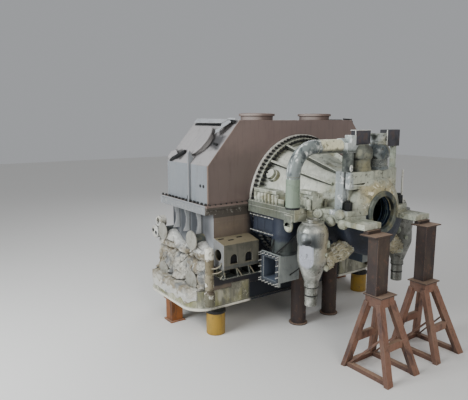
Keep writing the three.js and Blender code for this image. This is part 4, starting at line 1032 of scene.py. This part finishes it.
def cone_radius(y):
    for (r0, y0), (r1, y1) in zip(CONE, CONE[1:]):
        if y >= y1:
            return r0 + (r1 - r0) * (y - y0) / (y1 - y0)
    return CONE[-1][0]


def casing_profile(barrel):
    outside = [(1.30, -0.0803), (1.76, -0.0803), (1.76, -0.20), *CONE, (barrel, -2.20), (barrel, -2.4397)]
    inside = [(0.76, -2.4397), (0.80, -2.0), (0.93, -1.5), (1.15, -0.9), (1.30, -0.3)]
    return outside + inside


def flange_strip(bm, low, high):
    """Joint flange beside the cone, left and right."""
    inner = [(cone_radius(y) - 0.08 if y > -2.1 else 0.80, y) for _, y in WING]
    for side in SIDES:
        points = [(side * x, y) for x, y in WING] + [(side * x, y) for x, y in inner[::-1]]
        prism(bm, points, "Z", low, high)


def cone_rib(bm, degrees, thickness):
    """Rib in a plane through the shaft, its top edge wider than its web."""
    web = [(-0.18, 1.50), (-0.18, 1.70), (-0.26, 1.755), (-2.05, 1.025), (-2.05, 0.88)]
    lip = [(-0.20, 1.700), (-0.26, 1.755), (-2.05, 1.025), (-2.05, 0.985), (-0.27, 1.712)]
    turn = Matrix.Translation((0, 0, JOINT)) @ Matrix.Rotation(radians(degrees), 4, "Y")
    for outline, width in ((web, thickness), (lip, thickness * 1.5)):
        placed(bm, turn, prism, outline, "X", -width / 2, width / 2)


def make_middle_casing(sizes):
    bosses = []
    for degrees in (-60, 60):
        aim = Vector((sin(radians(degrees)), 0, cos(radians(degrees))))
        foot = Vector((0, -0.40, JOINT)) + aim * 1.40
        bosses += [(disc, foot, aim, 0.15, 0.285, 0.0, 48), (disc, foot, aim, 0.185, 0.19, 0.0, 48)]
    piece_of("middle_casing_top", "casting", [
        (half_hoop, casing_profile(0.94), True, 120), (flange_strip, JOINT, FLANGE_TOP),
        *[(cone_rib, degrees, sizes.rib_thickness) for degrees in (-48, -24.5, 24.5, 48)], *bosses],
        ["upper_intermediate_casing"], 0.010)
    piece_of("middle_casing_bottom", "dark", [
        (half_hoop, casing_profile(1.15), False, 120),
        *[(cone_rib, degrees, sizes.rib_thickness) for degrees in (132, 155.5, 204.5, 228)],
        *[(box, (x - 0.25, x + 0.25), (-1.02, -0.52), (2.0303, 2.70)) for x in (-0.63, 0.63)]],
        ["lower_intermediate_casing"], 0.010)
    flange = [(flange_strip, FLANGE_BOTTOM, JOINT - GAP)]
    for side in SIDES:
        flange += [(box, sorted((side * 1.93, side * 2.0)), (-1.90, -1.62), (3.20, 3.50)),
                   (disc, (side * 1.93, -1.76, 3.20), (side, 0, 0), 0.14, 0.07, 0.0, 40)]
    piece_of("middle_joint_flange", "casting", flange, bevel=0.012)
    pair_of("side_chest", "dark", [
        (box, (-1.87, -1.20), (-1.10, -0.21), (2.80, FLANGE_BOTTOM - 0.005)),
        (box, (-1.90, -1.84), (-1.14, -0.21), (3.22, FLANGE_BOTTOM - 0.005)),
        (box, (-1.90, -1.84), (-1.14, -0.21), (2.78, 2.90)),
        *[(box, (-1.89, -1.84), (y, y + 0.035), (2.85, 3.28)) for y in (-1.10, -0.72, -0.40)]], bevel=0.008)
    rows = [([(-1.89, -1.08, z), (-1.89, -0.28, z)], (-1, 0, 0.35)) for z in (3.27, 2.84)]
    fasteners("side_chest_studs", both_sides(*rows), "bright", 0.155, (0.02, 0.03), (0.014, 0.15))

    # Ledge bars, tall nuts, cap nuts and bosses on the casing's joint flange
    pair_of("flange_ledge_bars", "casting", [
        (box, (-1.93, -1.66), (-1.22, -0.30), (3.93, 4.03)),
        (box, (-1.80, -1.50), (-1.22, -0.30), (FLANGE_FOOT, 3.94)),
        (box, (-1.62, -1.36), (-2.17, -1.68), (4.02, 4.10)),
        (box, (-1.55, -1.20), (-2.17, -1.68), (FLANGE_FOOT, 4.03)),
        (box, (-1.93, -1.78), (-1.52, -1.30), (FLANGE_FOOT, 3.84))], bevel=0.014)

    def flange_run(*places):
        return [(x, y, FLANGE_TOP) for x, y in places], UP

    height = sizes.flange_nut_height
    fasteners("tall_flange_nuts", both_sides(
        flange_run((-1.875, -1.20), (-1.875, -0.34)), flange_run((-1.63, -2.12), (-1.50, -1.70))),
        "casting", 0.143, (0.066, 0.25), (0.03, 0.265), sides=12)
    fasteners("cap_nuts", both_sides(
        flange_run((-1.24, -1.93), (-0.60, -2.40)), flange_run((-1.88, -1.94), (-1.88, -1.62))),
        "olive_casting", 0.20, (0.062, height), (0.034, height + 0.03), 0.72, 14)
    fasteners("large_hex_nuts", both_sides(flange_run((-0.70, -2.80), (-0.98, -2.80))), "black", 0.28,
              (0.105, 0.20), (0.055, 0.25))
    bosses = []
    for place, aim in (((-1.40, -2.21, 3.56), (-0.82, -0.58, 0)), ((-1.215, -2.76, 3.58), (-1, -0.1, 0)),
                       ((-1.205, -2.86, 3.36), (-1, -0.1, 0)), ((-1.245, -2.50, 3.38), (-1, -0.1, 0))):
        foot = Vector(place) - Vector(aim).normalized() * 0.05
        bosses += [(disc, foot, aim, 0.125, 0.11, 0.01, 40), (disc, place, aim, 0.06, 0.085, 0.0, 24)]
    pair_of("flange_bosses", "casting", bosses, bevel=0.010)


def nose_profile(barrel):
    dome = [(CASING_JOINT, 1.0), (-2.82, 1.0), (-2.88, 0.965), (-2.94, 0.88), (-2.98, 0.80), (-3.01, 0.72),
            (-3.03, 0.69)]
    outside = [(barrel * share, y) for y, share in dome] + [(0.64, -3.05), (0.62, -3.06)]
    inside = [(0.4903, -3.06), (0.4903, -3.0), (0.41, -3.0), (0.41, -2.96), (0.46, -2.955), (0.46, -2.90),
              (0.41, -2.895), (0.41, -2.84), (0.70, -2.83), (0.76, CASING_JOINT)]
    return outside + inside


def arched_plate(bm, left, right, top, y):
    """Upright plate over the shaft, open above the bore."""
    opening = [(x, JOINT + z) for x, z in arc(0.76, 180, 0, 24)]
    prism(bm, [(left, JOINT), *opening, (right, JOINT), (right, top), (left, top)], "Y", *y)


def nose_flange(bm, low, high):
    outline = [(1.25, CASING_JOINT), (1.15, -2.95), (0.72, -3.06), (0.60, -3.06), (0.80, -2.90),
               (0.80, CASING_JOINT)]
    for side in SIDES:
        prism(bm, [(side * x, y) for x, y in outline], "Z", low, high)


def make_front_casing(sizes):
    chest = [(-1.02, 4.18), (-0.55, 4.18), (-0.36, 4.31), (0.20, 4.31), (0.36, 4.18), (0.72, 4.18),
             (0.72, 4.32), (-1.02, 4.32)]
    piece_of("front_casing_top", "front", [
        (half_hoop, nose_profile(0.93), True), (arched_plate, -1.06, 1.0, 4.60, (-2.68, CASING_JOINT)),
        (arched_plate, -0.925, 0.925, 4.57, (-2.725, -2.67)),
        (box, (-1.02, 0.72), (-2.88, -2.72), (4.30, 4.60)), (prism, chest, "Y", -2.88, -2.72),
        (nose_flange, JOINT, FLANGE_TOP)], ["upper_front_casing"], 0.012)
    piece_of("front_casing_bottom", "dark", [(half_hoop, nose_profile(1.15), False)],
             ["lower_front_casing"], 0.012)
    piece_of("front_joint_flange", "casting", [
        (nose_flange, FLANGE_BOTTOM, JOINT - GAP),
        *[(box, sorted((side * 0.66, side * 1.26)), (-3.56, -2.85), (3.3303, 3.47)) for side in SIDES]],
        bevel=0.014)
    piece_of("shaft_collar", "collar", [
        (hoop, [(0.41, -3.0003), (0.55, -3.0003), (0.55, -3.095), (0.53, -3.12), (0.43, -3.12),
                (0.41, -3.10)])], ["front_gland_collar"], 0.006)
    piece_of("seal_rings", "seal", [
        (hoop, [(inner, y), (0.60, y), (0.60, y + 0.022), (inner, y + 0.022)], "Y", (0, 0, JOINT), 72)
        for inner, y in ((0.385, -2.93), (0.385, -2.87), (0.43, -2.79), (0.43, -2.70))], bevel=0.004)


def make_towers(sizes):
    left = [(0, 0), (0.278, 0), (0.28, 0.085), (0.262, 0.105), (0.258, 0.27), (0.296, 0.32), (0.304, 0.43),
            (0.294, 0.52), (0.24, 0.60), (0.204, 0.63), (0.204, 0.65), (0, 0.65)]
    right = [(0, 0), (0.28, 0), (0.28, 0.09)]
    for z in (0.105 + 0.034 * k for k in range(5)):
        right += [(0.252, z), (0.262, z + 0.008), (0.262, z + 0.022), (0.252, z + 0.030)]
    right += [(0.262, 0.285), (0.289, 0.32), (0.302, 0.37), (0.305, 0.43), (0.300, 0.48), (0.285, 0.53),
              (0.255, 0.58), (0.215, 0.62), (0.204, 0.635), (0.204, 0.65), (0, 0.65)]
    for label, x, profile, paint in (("left", LEFT_TOWER, left, "left_tower"),
                                     ("right", RIGHT_TOWER, right, "tower")):
        piece_of(f"{label}_tower", paint, [
            (upright, profile, x, TOWER_Y, TOWER_FOOT, 72)], [f"{label}_valve_tower"], 0.004)
    x, y, top = LEFT_TOWER, TOWER_Y, TOWER_FOOT + 0.6503
    piece_of("tower_box", "tower_box", [
        (box, (x - 0.28, x + 0.28), (y - 0.07, y + 0.07), (top, top + 0.345))], ["left_valve_box"], 0.008)
    piece_of("tower_box_rim", "bright", [
        (box, (x - 0.30, x + 0.30), (y - 0.08, y + 0.08), (top + 0.335, top + 0.35)),
        (box, (x - 0.285, x - 0.262), (y - 0.078, y - 0.06), (top, top + 0.345))], bevel=0.004)
    piece_of("tower_cap", "cap", [
        (upright, [(0, 0), (0.205, 0), (0.205, 0.05), (0.175, 0.075), (0.18, 0.17), (0.20, 0.20),
                   (0.205, 0.215), (0.205, 0.26), (0, 0.26)], RIGHT_TOWER, y, top, 64)],
        ["right_valve_cap"], 0.004)
    dressed("left_inlet_block", "stepped_inlet_block", "inlet", "casting_paint", 0.012)
    dressed("right_inlet_block", "right_inlet_box", "tower_box", "primer", 0.010)
    piece_of("inlet_box_edge", "bright", [
        (box, (0.642, 0.667), (-2.605, -2.585), (5.17, 5.585))], bevel=0.004)
    foot, top = FLANGE_TOP + GAP, 5.1597
    piece_of("green_drop_pipe", "green_pipe", [
        (upright, [(0, foot), (0.11, foot), (0.11, 3.72), (0.08, 3.74), (0.08, top), (0, top)],
         1.09, -2.47, 0, 32)], ["right_drop_pipe"], 0.004)
    ring = [(-0.98 + u * 0.8, -2.86 + u * 0.3, 4.70 + v) for u, v in arc(0.07, 0, 330, 22)]
    piece_of("lifting_ring", "bright", [(tube, ring, 0.018, 12)])
    piece_of("spindle_rod", "bright", [
        (tube, [(1.22, -2.72, FLANGE_TOP), (1.22, -2.72, 4.53)], 0.026, 20),
        (disc, (1.22, -2.72, FLANGE_TOP), UP, 0.09, 0.05),
        (disc, (1.13, -2.83, FLANGE_TOP), UP, 0.055, 0.12),
        (disc, (1.13, -2.62, FLANGE_TOP), UP, 0.055, 0.10),
        (bar, (1.10, -2.95, FLANGE_TOP + 0.06), (1.22, -2.60, FLANGE_TOP + 0.08), 0.04, 0.03)], bevel=0.003)


def make_elbow(sizes):
    x, y, z, bend, end = -2.51, -2.50, 5.22, 0.65, -1.0403
    path = [(x, y, 3.82), (x, y, 4.0), (x, y, 4.3), (x, y, z - bend)]
    path += [(x + bend - bend * cos(a), y, z - bend + bend * sin(a))
             for a in (pi / 2 * k / 16 for k in range(1, 17))]
    path += [(x + bend + (end - x - bend) * k / 3, y, z) for k in (1, 2, 3)]
    piece_of("elbow_pipe", "green_steel", [(tube, path, 0.165, 48, 0.137)],
             ["inlet_elbow_pipe"], 0.003)
    weld = [(0.15, -0.012), (0.163, -0.012), (0.168, 0), (0.163, 0.012), (0.15, 0.012)]
    piece_of("elbow_welds", "olive_casting", [
        (hoop, weld, "Z", (x, y, z - bend), 48), (hoop, weld, "X", (x + bend + 0.02, y, z), 48)])
    mouth = [(0.13, 3.825), (0.168, 3.825), (0.169, 3.875), (0.13, 3.875)]
    piece_of("elbow_mouth_ring", "black", [(hoop, mouth, "Z", (x, y, 0), 48)])


def make_valves(sizes):
    x, y = -1.70, -2.35
    body = drawn([(upright, [
        (0, 1.29), (0.155, 1.29), (0.155, 1.76), (0.175, 1.775), (0.178, 1.80), (0.178, 1.85),
        (0.170, 1.87), (0.20, 1.95), (0.33, 2.33), (0.350, 2.39), (0.362, 2.45), (0.365, 2.60),
        (0.362, 2.72), (0.355, 2.80), (0.362, 2.86), (0.378, 2.96), (0.384, 3.05), (0.383, 3.12),
        (0.370, 3.20), (0.345, 3.27), (0.300, 3.33), (0.262, 3.355), (0.262, 3.36), (0.272, 3.365),
        (0.272, 3.40), (0.165, 3.41), (0.165, 3.47), (0.130, 3.47), (0.130, 3.20), (0, 3.20)], x, y)])
    facet, facet_reach = Vector(VALVE_FACET).normalized(), 0.297
    for vert in body.verts:
        if 1.88 < vert.co.z < 2.90:
            beyond = (vert.co - Vector((x, y, 0))).dot(facet) - facet_reach
            vert.co -= facet * max(beyond, 0)
    ball = [(0.195 * sin(a), -0.195 * cos(a)) for a in (pi * k / 20 for k in range(21))]
    placed(body, Matrix.Translation((x - 0.235, y - 0.075, 3.04)), upright, ball, 0, 0, 0, 48)
    pair_of("stop_valve_body", "valve", body, "stop_valve", 0.003)
    pair_of("stop_valve_caps", "green_pipe", [
        (disc, (x + 0.30, y - 0.16, 2.83), (0.85, -0.5, 0), 0.11, 0.085, 0.0, 36),
        (disc, (x + 0.12, y - 0.30, 2.62), (0.35, -0.93, 0), 0.06, 0.08, 0.0, 24),
        (disc, (x + 0.22, y - 0.20, 2.28), (0.6, -0.7, -0.3), 0.10, 0.11, 0.03, 36)], bevel=0.006)
    pair_of("stop_valve_seams", "black", [
        (hoop, [(0.15, 1.53), (0.162, 1.535), (0.162, 1.565), (0.15, 1.57)], "Z", (x, y, 0), 48),
        (hoop, [(0.165, 1.755), (0.183, 1.76), (0.183, 1.775), (0.165, 1.78)], "Z", (x, y, 0), 48)])


def make_lagging(sizes):
    """Fibrous insulation round the branch from the stop valve to the casing."""
    start, end = Vector((-1.42, -2.46, 2.37)), Vector((-0.70, -2.66, 2.76))
    ahead = (end - start).normalized()
    across = ahead.cross(Vector(UP)).normalized()
    rise = across.cross(ahead)
    bm = bmesh.new()
    rows = []
    lengths, sides = 46, 72
    for share in (i / lengths for i in range(lengths + 1)):
        centre = start + (end - start) * share
        row = []
        for angle in (2 * pi * k / sides for k in range(sides)):
            out = across * cos(angle) + rise * sin(angle)
            seed = centre * 3.0 + out * 1.6
            rough = noise.fractal(seed * 3.0, 0.9, 2.2, 5)
            tuft = abs(noise.noise(seed * 9.0)) ** 2
            layer = 0.012 * cos(share * 34) + 0.02 * sin(share * 9 + 2)
            radius = 0.205 + 0.040 * rough + 0.06 * tuft + layer
            row.append(bm.verts.new(centre + out * min(radius, 0.26)))
        rows.append(row)
    capped(bm, rows)
    for piece in pair_of("branch_lagging", "lagging", bm, "lagged_branch"):
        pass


def make_ducts(sizes):
    top = FLANGE_BOTTOM - 0.001
    drum = [(0, 2.33), (0.35, 2.33), (0.35, 2.40), (0.335, 2.42), (0.335, 2.85), (0.34, 2.87),
            (0.335, 2.89), (0.335, top), (0, top)]
    pair_of("nozzle_drum", "dark", [(upright, drum, -1.56, -1.15, 0, 64)],
        "extraction_nozzle", 0.008)
    dressed_pairs(("extraction_duct", "duct", "duct", "casting_paint", 0.010))
    x = -2.06
    frame_runs = [([(x, -1.50, z), (x, -0.81, z)], LEFT) for z in (1.60, 2.36)]
    frame_runs += [([(x, y, 1.66), (x, y, 2.30)], LEFT) for y in (-1.50, -0.81)]
    fasteners("duct_studs", both_sides(*frame_runs), "bright", 0.135, (0.015, 0.02), (0.010, 0.085))
    pair_of("duct_braces", "black", [
        (bar, (-1.98, -1.30, 2.40), (-1.42, -1.62, 2.95), 0.03, 0.03),
        (bar, (-1.62, -1.47, 1.80), (-1.30, -1.75, 2.15), 0.03, 0.03),
        (bar, (-1.98, -1.12, 2.40), (-1.90, -1.14, 2.75), 0.03, 0.03)], bevel=0.003)


# Blanked stubs in the wrapping and a bulge without a disc, in Y, Z and radius
STUBS = [(0.55, 2.59, 0.27), (2.24, 2.53, 0.26), (0.59, 1.43, 0.29), (2.24, 1.33, 0.27)]
BULGES = [(1.38, 1.52, 0.27)]
WRAPPING_FRONT, WRAPPING_REAR = 0.14, 2.88
WRAPPING_FOOT, WRAPPING_TOP = 1.2403, 2.62
LEDGE_X, LEDGE_TOP = -3.12, 1.2425


def neck_side(y, lift):
    """X of the neck's left wall, rounded at its corners, with a lift from it."""
    inner = max(0.60 - y, y - 2.30, 0.0)
    return -3.08 - sqrt(max((0.60 + lift) ** 2 - inner ** 2, 0.0))


def closed_sheet(bm, front, behind):
    """Front grid of points, closed by a grid behind it or, where that has two rows, by a flat back."""
    grid, back = ([[bm.verts.new(p) for p in row] for row in rows] for rows in (front, behind))
    for rows in (grid, [back[0], grid[0]], [grid[-1], back[-1]]):
        skin(bm, rows)
    if len(back) == 2:
        for k in (0, -1):
            bm.faces.new([back[0][k], *(row[k] for row in grid), back[1][k]])
        bm.faces.new(back[0] + back[1][::-1])
    else:
        skin(bm, back)
        for k in (0, -1):
            skin(bm, [[row[k] for row in back], [row[k] for row in grid]])


def wrapping_depth(y, z, u, v, fold):
    """How far the sheeting stands out from the hood's side, u and v being shares along and up it."""
    depth, limit = 0.20, 1.0
    for sy, sz, radius in STUBS + BULGES:
        away = hypot(y - sy, z - sz) / radius
        depth += 0.125 * exp(-(away / 1.05) ** 4)
        if (sy, sz, radius) in STUBS:
            limit = min(limit, 0.34 + 0.5 * max(0.0, away - 0.92))
    depth += 0.30 * exp(-(z - 1.24) / 0.10)
    tie = 0.10 * exp(-((z - 2.03) / 0.045) ** 2)
    tie += 0.08 * exp(-((y - 1.02 + 0.05 * sin(z * 9)) / 0.05) ** 2)
    tie += 0.08 * exp(-((y - 1.86 + 0.06 * sin(z * 7)) / 0.05) ** 2)
    place = Vector((y * 2.6, z * 2.2, 0.4))
    warp = Vector((noise.noise(place), noise.noise(place + Vector((5, 3, 1))), 0)) * 0.55
    near, second = noise.voronoi(place + warp * 0.7)[0][:2]
    pillow = sqrt(min(1.0, (second - near) / 0.40))
    fine = 1 - abs(noise.noise((place + warp * 1.6) * 4.3)) * 2.0
    wrinkle = fold * (2.2 * pillow + 0.6 * fine + 0.35 * noise.noise(place * 9))
    border = min(min(u, 1 - u) * 16, min(v, 1 - v) * 12, 1)
    free = min(limit, max(0.05, depth - tie + wrinkle - fold * 0.9))
    return free * (0.35 + 0.65 * sqrt(max(border, 0)))


def wrapping_sheet(fold, columns=190, rows=104):
    """Crumpled sheeting on the hood's side."""
    grid = []
    for v in (j / rows for j in range(rows + 1)):
        row = []
        for i in range(columns + 1):
            y = WRAPPING_FRONT + (WRAPPING_REAR - WRAPPING_FRONT) * i / columns
            crest = 2.46 + 0.16 * cos((y - 0.62) * 3.9) + 0.03 * noise.noise(Vector((y * 5, 1.5, 0)))
            z = WRAPPING_FOOT + (min(crest, WRAPPING_TOP) - WRAPPING_FOOT) * v
            u = (y - WRAPPING_FRONT) / (WRAPPING_REAR - WRAPPING_FRONT)
            row.append((-LOWER_SIDE - wrapping_depth(y, z, u, v, fold), y, z))
        grid.append(row)
    flat = [[(-LOWER_SIDE - GAP, y, z) for _, y, z in row] for row in (grid[0], grid[-1])]
    return closed_sheet, grid, flat


def wrapping_hem(columns=120, across=14, down=20):
    """Hem over the neck's ledge and hanging over its edge."""
    grid, behind = [], []
    for j in range(across + down + 1):
        front, back = [], []
        for y in (0.16 + 2.42 * i / columns for i in range(columns + 1)):
            low = 0.91 + 0.09 * noise.noise(Vector((y * 4, 7.5, 0))) + 0.04 * sin(y * 11)
            share = (j - across) / down
            crease = 1 - abs(noise.noise(Vector((y * 6, j * 0.12, 3)))) * 2.2
            fold = 0.018 + 0.020 * crease - 0.012 * (j == across + down)
            edge, wall = neck_side(y, min(fold, 0.027)), neck_side(y, 0.002)
            if share > 0:
                z = 1.285 + (low - 1.285) * share
                front.append((edge, y, z))
                back.append((wall, y, z))
            else:
                x = LEDGE_X + (edge - LEDGE_X) * j / across
                front.append((x, y, 1.262 + fold))
                back.append((max(x, wall), y, LEDGE_TOP))
        grid.append(front)
        behind.append(back)
    return closed_sheet, grid, behind


def make_wrapping(sizes):
    """Sheeting round the blanked steam connections, and the discs that blank them."""
    for name, sheet, node in (("wrapping", wrapping_sheet(sizes.wrapping_fold), "steam_connections"),
                              ("wrapping_hem", wrapping_hem(), "")):
        for piece in pair_of(name, "wrapping", [sheet], node):
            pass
    pair_of("blanking_discs", "disc", [
        (turned, [(0, -3.395), (radius * 0.97, -3.395), (radius, -3.405), (radius, -3.43),
                  (radius * 0.97, -3.44), (0, -3.447)], "X", (0, y, z), 56) for y, z, radius in STUBS],
        bevel=0.004)
    pair_of("blanking_necks", "girder", [
        (disc, (-LOWER_SIDE, y, z), LEFT, radius * 0.55, 0.35) for y, z, radius in STUBS])
    pair_of("ring_covers", "wrapping", [
        (turned, [(0, -3.20), (0.20, -3.20), (0.20, -3.42), (0.185, -3.44), (0, -3.44)], "X",
         (0, 2.76, 2.43), 40),
        (hoop, [(0.10, -3.20), (0.17, -3.20), (0.17, -3.40), (0.15, -3.42), (0.10, -3.42)], "X",
         (0, 2.56, 2.78), 40)], bevel=0.006)
    pair_of("ring_holes", "hollow", [
        (disc, (-3.432, y, z), LEFT, 0.062, 0.012, 0.0, 24) for y, z in ((2.68, 2.40), (2.86, 2.46))])


def make_stands(sizes):
    post, inner_post = (-2.96, 0.06, 0, 64), (-0.63, -0.77, 0, 64)
    pair_of("yellow_post", "yellow", [
        (upright, [(0, 0), (0.26, 0), (0.26, 0.615), (0, 0.615)], *post)], "hood_post", 0.006)
    pair_of("post_cap", "black", [
        (upright, [(0, 0.612), (0.278, 0.612), (0.28, 0.63), (0.28, 0.69), (0.27, 0.6997), (0, 0.6997)],
         *post)], bevel=0.006)
    pair_of("inner_post", "column", [
        (upright, [(0, 0), (0.27, 0), (0.27, 0.03), (0.22, 0.04), (0.22, 1.97), (0.235, 1.98),
                   (0.235, 2.0297), (0, 2.0297)], *inner_post)], "middle_post", 0.006)
    dressed_pairs(("rear_stand", "rear_stool", "orange", "post_paint", 0.008),
                  ("column", "box_column", "column", "primer", 0.007),
                  ("trestle", "trestle_frame", "trestle", "trestle_primer", 0.007))


# Stage

CAMERA_PLACE = Vector((-9.935, -9.846, 5.86))
CAMERA_RIGHT = Vector((0.816, -0.578, 0.0))
CAMERA_UP = Vector((0.095, 0.134, 0.9864))
CAMERA_LENS = 37.38
SENSOR_WIDTH = 36.0
FLOOR_REACH = 60.0
LIT_PLACE = Vector((0, 0, 2.8))


def add_light(name, place, size, power, colour):
    """Round lamp that points at the middle of the machine."""
    data = bpy.data.lights.new(name, "AREA")
    data.shape = "DISK"
    data.size = size
    data.energy = power
    data.color = colour
    lamp = bpy.data.objects.new(name, data)
    bpy.context.scene.collection.objects.link(lamp)
    lamp.location = place
    lamp.rotation_euler = (LIT_PLACE - Vector(place)).to_track_quat("-Z", "Y").to_euler()


def make_stage(colours):
    scene = bpy.context.scene
    mesh = bpy.data.meshes.new("floor")
    corners = [(-1, -1), (1, -1), (1, 1), (-1, 1)]
    mesh.from_pydata([(x * FLOOR_REACH, y * FLOOR_REACH, 0) for x, y in corners], [], [(0, 1, 2, 3)])
    ground = bpy.data.objects.new("floor", mesh)
    scene.collection.objects.link(ground)
    mesh.materials.append(painted("floor paint", colours, "floor", [], 0.85,
                                  relief=[(cloud(3, 0.3, 0.7), 0.002, 0.5)]))

    add_light("window light", (-16, 1, 10), 9, 2600, (0.93, 0.97, 1.0))
    add_light("hall light", (-6, -15, 11), 8, 830, (1.0, 0.96, 0.90))
    add_light("rear light", (10, 13, 13), 9, 700, (0.95, 0.97, 1.0))
    world = bpy.data.worlds.new("hall air")
    world.use_nodes = True
    feed(world.node_tree, world.node_tree.nodes["Background"],
         {"Color": (0.80, 0.82, 0.85, 1), "Strength": 0.46})
    scene.world = world

    data = bpy.data.cameras.new("camera")
    data.lens = CAMERA_LENS
    data.sensor_width = SENSOR_WIDTH
    data.sensor_fit = "HORIZONTAL"
    data.clip_end = 200
    camera = bpy.data.objects.new("camera", data)
    scene.collection.objects.link(camera)
    right = CAMERA_RIGHT.normalized()
    up = (CAMERA_UP - right * CAMERA_UP.dot(right)).normalized()
    turn = Matrix((right, up, right.cross(up))).transposed().to_4x4()
    camera.matrix_world = Matrix.Translation(CAMERA_PLACE) @ turn
    scene.camera = camera


# Operators

class TURBINE_OT_stage(bpy.types.Operator):
    """Add the floor, the lights and the camera"""

    bl_idname = "turbine.stage"
    bl_label = "Stage"

    def execute(self, context):
        make_stage(context.scene.turbine_colours)
        return {"FINISHED"}


class TURBINE_OT_hood(bpy.types.Operator):
    """Finish the upper exhaust hood with its covers, stubs and joint bolts"""

    bl_idname = "turbine.hood"
    bl_label = "Exhaust hood"

    def execute(self, context):
        make_hood(context.scene.turbine_sizes)
        return {"FINISHED"}


class TURBINE_OT_lower_hood(bpy.types.Operator):
    """Finish the lower exhaust hood, its feet and girders and the rear gland"""

    bl_idname = "turbine.lower_hood"
    bl_label = "Lower hood"

    def execute(self, context):
        make_lower_hood(context.scene.turbine_sizes)
        return {"FINISHED"}


class TURBINE_OT_neck(bpy.types.Operator):
    """Finish the neck under the hood, its panels and its corner pipes"""

    bl_idname = "turbine.neck"
    bl_label = "Exhaust neck"

    def execute(self, context):
        make_neck(context.scene.turbine_sizes)
        return {"FINISHED"}


class TURBINE_OT_rings(bpy.types.Operator):
    """Make the ring flange and its studs"""

    bl_idname = "turbine.rings"
    bl_label = "Ring flange"

    def execute(self, context):
        make_rings(context.scene.turbine_sizes)
        return {"FINISHED"}


class TURBINE_OT_middle_casing(bpy.types.Operator):
    """Make the ribbed cone, its joint flange and the fittings on it"""

    bl_idname = "turbine.middle_casing"
    bl_label = "Intermediate casing"

    def execute(self, context):
        make_middle_casing(context.scene.turbine_sizes)
        return {"FINISHED"}


class TURBINE_OT_front_casing(bpy.types.Operator):
    """Make the front casing with its dome, chest, collar and seal rings"""

    bl_idname = "turbine.front_casing"
    bl_label = "Front casing"

    def execute(self, context):
        make_front_casing(context.scene.turbine_sizes)
        return {"FINISHED"}


class TURBINE_OT_towers(bpy.types.Operator):
    """Make the valve towers, their boxes and the pipes beside them"""

    bl_idname = "turbine.towers"
    bl_label = "Valve towers"

    def execute(self, context):
        make_towers(context.scene.turbine_sizes)
        return {"FINISHED"}


class TURBINE_OT_elbow(bpy.types.Operator):
    """Make the open elbow pipe with its welds"""

    bl_idname = "turbine.elbow"
    bl_label = "Elbow pipe"

    def execute(self, context):
        make_elbow(context.scene.turbine_sizes)
        return {"FINISHED"}


class TURBINE_OT_valves(bpy.types.Operator):
    """Make the stop valves below the joint"""

    bl_idname = "turbine.valves"
    bl_label = "Stop valves"

    def execute(self, context):
        make_valves(context.scene.turbine_sizes)
        return {"FINISHED"}


class TURBINE_OT_lagging(bpy.types.Operator):
    """Make the fibrous lagging round the branches"""

    bl_idname = "turbine.lagging"
    bl_label = "Branch lagging"

    def execute(self, context):
        make_lagging(context.scene.turbine_sizes)
        return {"FINISHED"}


class TURBINE_OT_ducts(bpy.types.Operator):
    """Make the extraction nozzles and ducts"""

    bl_idname = "turbine.ducts"
    bl_label = "Extraction ducts"

    def execute(self, context):
        make_ducts(context.scene.turbine_sizes)
        return {"FINISHED"}


class TURBINE_OT_wrapping(bpy.types.Operator):
    """Make the crumpled wrapping and the blanking discs"""

    bl_idname = "turbine.wrapping"
    bl_label = "Wrapped connections"

    def execute(self, context):
        make_wrapping(context.scene.turbine_sizes)
        return {"FINISHED"}


class TURBINE_OT_stands(bpy.types.Operator):
    """Finish the posts, columns and trestles"""

    bl_idname = "turbine.stands"
    bl_label = "Stands"

    def execute(self, context):
        make_stands(context.scene.turbine_sizes)
        return {"FINISHED"}


OPERATORS = (TURBINE_OT_stage, TURBINE_OT_hood, TURBINE_OT_lower_hood, TURBINE_OT_neck,
             TURBINE_OT_rings, TURBINE_OT_middle_casing, TURBINE_OT_front_casing, TURBINE_OT_towers,
             TURBINE_OT_elbow, TURBINE_OT_valves, TURBINE_OT_lagging, TURBINE_OT_ducts,
             TURBINE_OT_wrapping, TURBINE_OT_stands)


class TURBINE_PT_panel(bpy.types.Panel):
    """Lists the machine's pieces, sizes and colours"""

    bl_label = "Steam turbine casing"
    bl_idname = "TURBINE_PT_panel"
    bl_space_type = "VIEW_3D"
    bl_region_type = "UI"
    bl_category = "Turbine"

    def draw(self, context):
        column = self.layout.column()
        for operator in OPERATORS:
            column.operator(operator.bl_idname, text=operator.bl_label)
        for group in (context.scene.turbine_sizes, context.scene.turbine_colours):
            column.separator()
            for key in group.bl_rna.properties.keys():
                if key not in {"rna_type", "name"}:
                    column.prop(group, key)


CLASSES = (TurbineSizes, TurbineColours, *OPERATORS, TURBINE_PT_panel)


def register():
    for item in CLASSES:
        bpy.utils.register_class(item)
    bpy.types.Scene.turbine_sizes = bpy.props.PointerProperty(type=TurbineSizes)
    bpy.types.Scene.turbine_colours = bpy.props.PointerProperty(type=TurbineColours)


def unregister():
    del bpy.types.Scene.turbine_colours
    del bpy.types.Scene.turbine_sizes
    for item in reversed(CLASSES):
        bpy.utils.unregister_class(item)


def main():
    register()
    for operator in OPERATORS:
        family, action = operator.bl_idname.split(".")
        getattr(getattr(bpy.ops, family), action)()


if __name__ == "__main__":
    main()
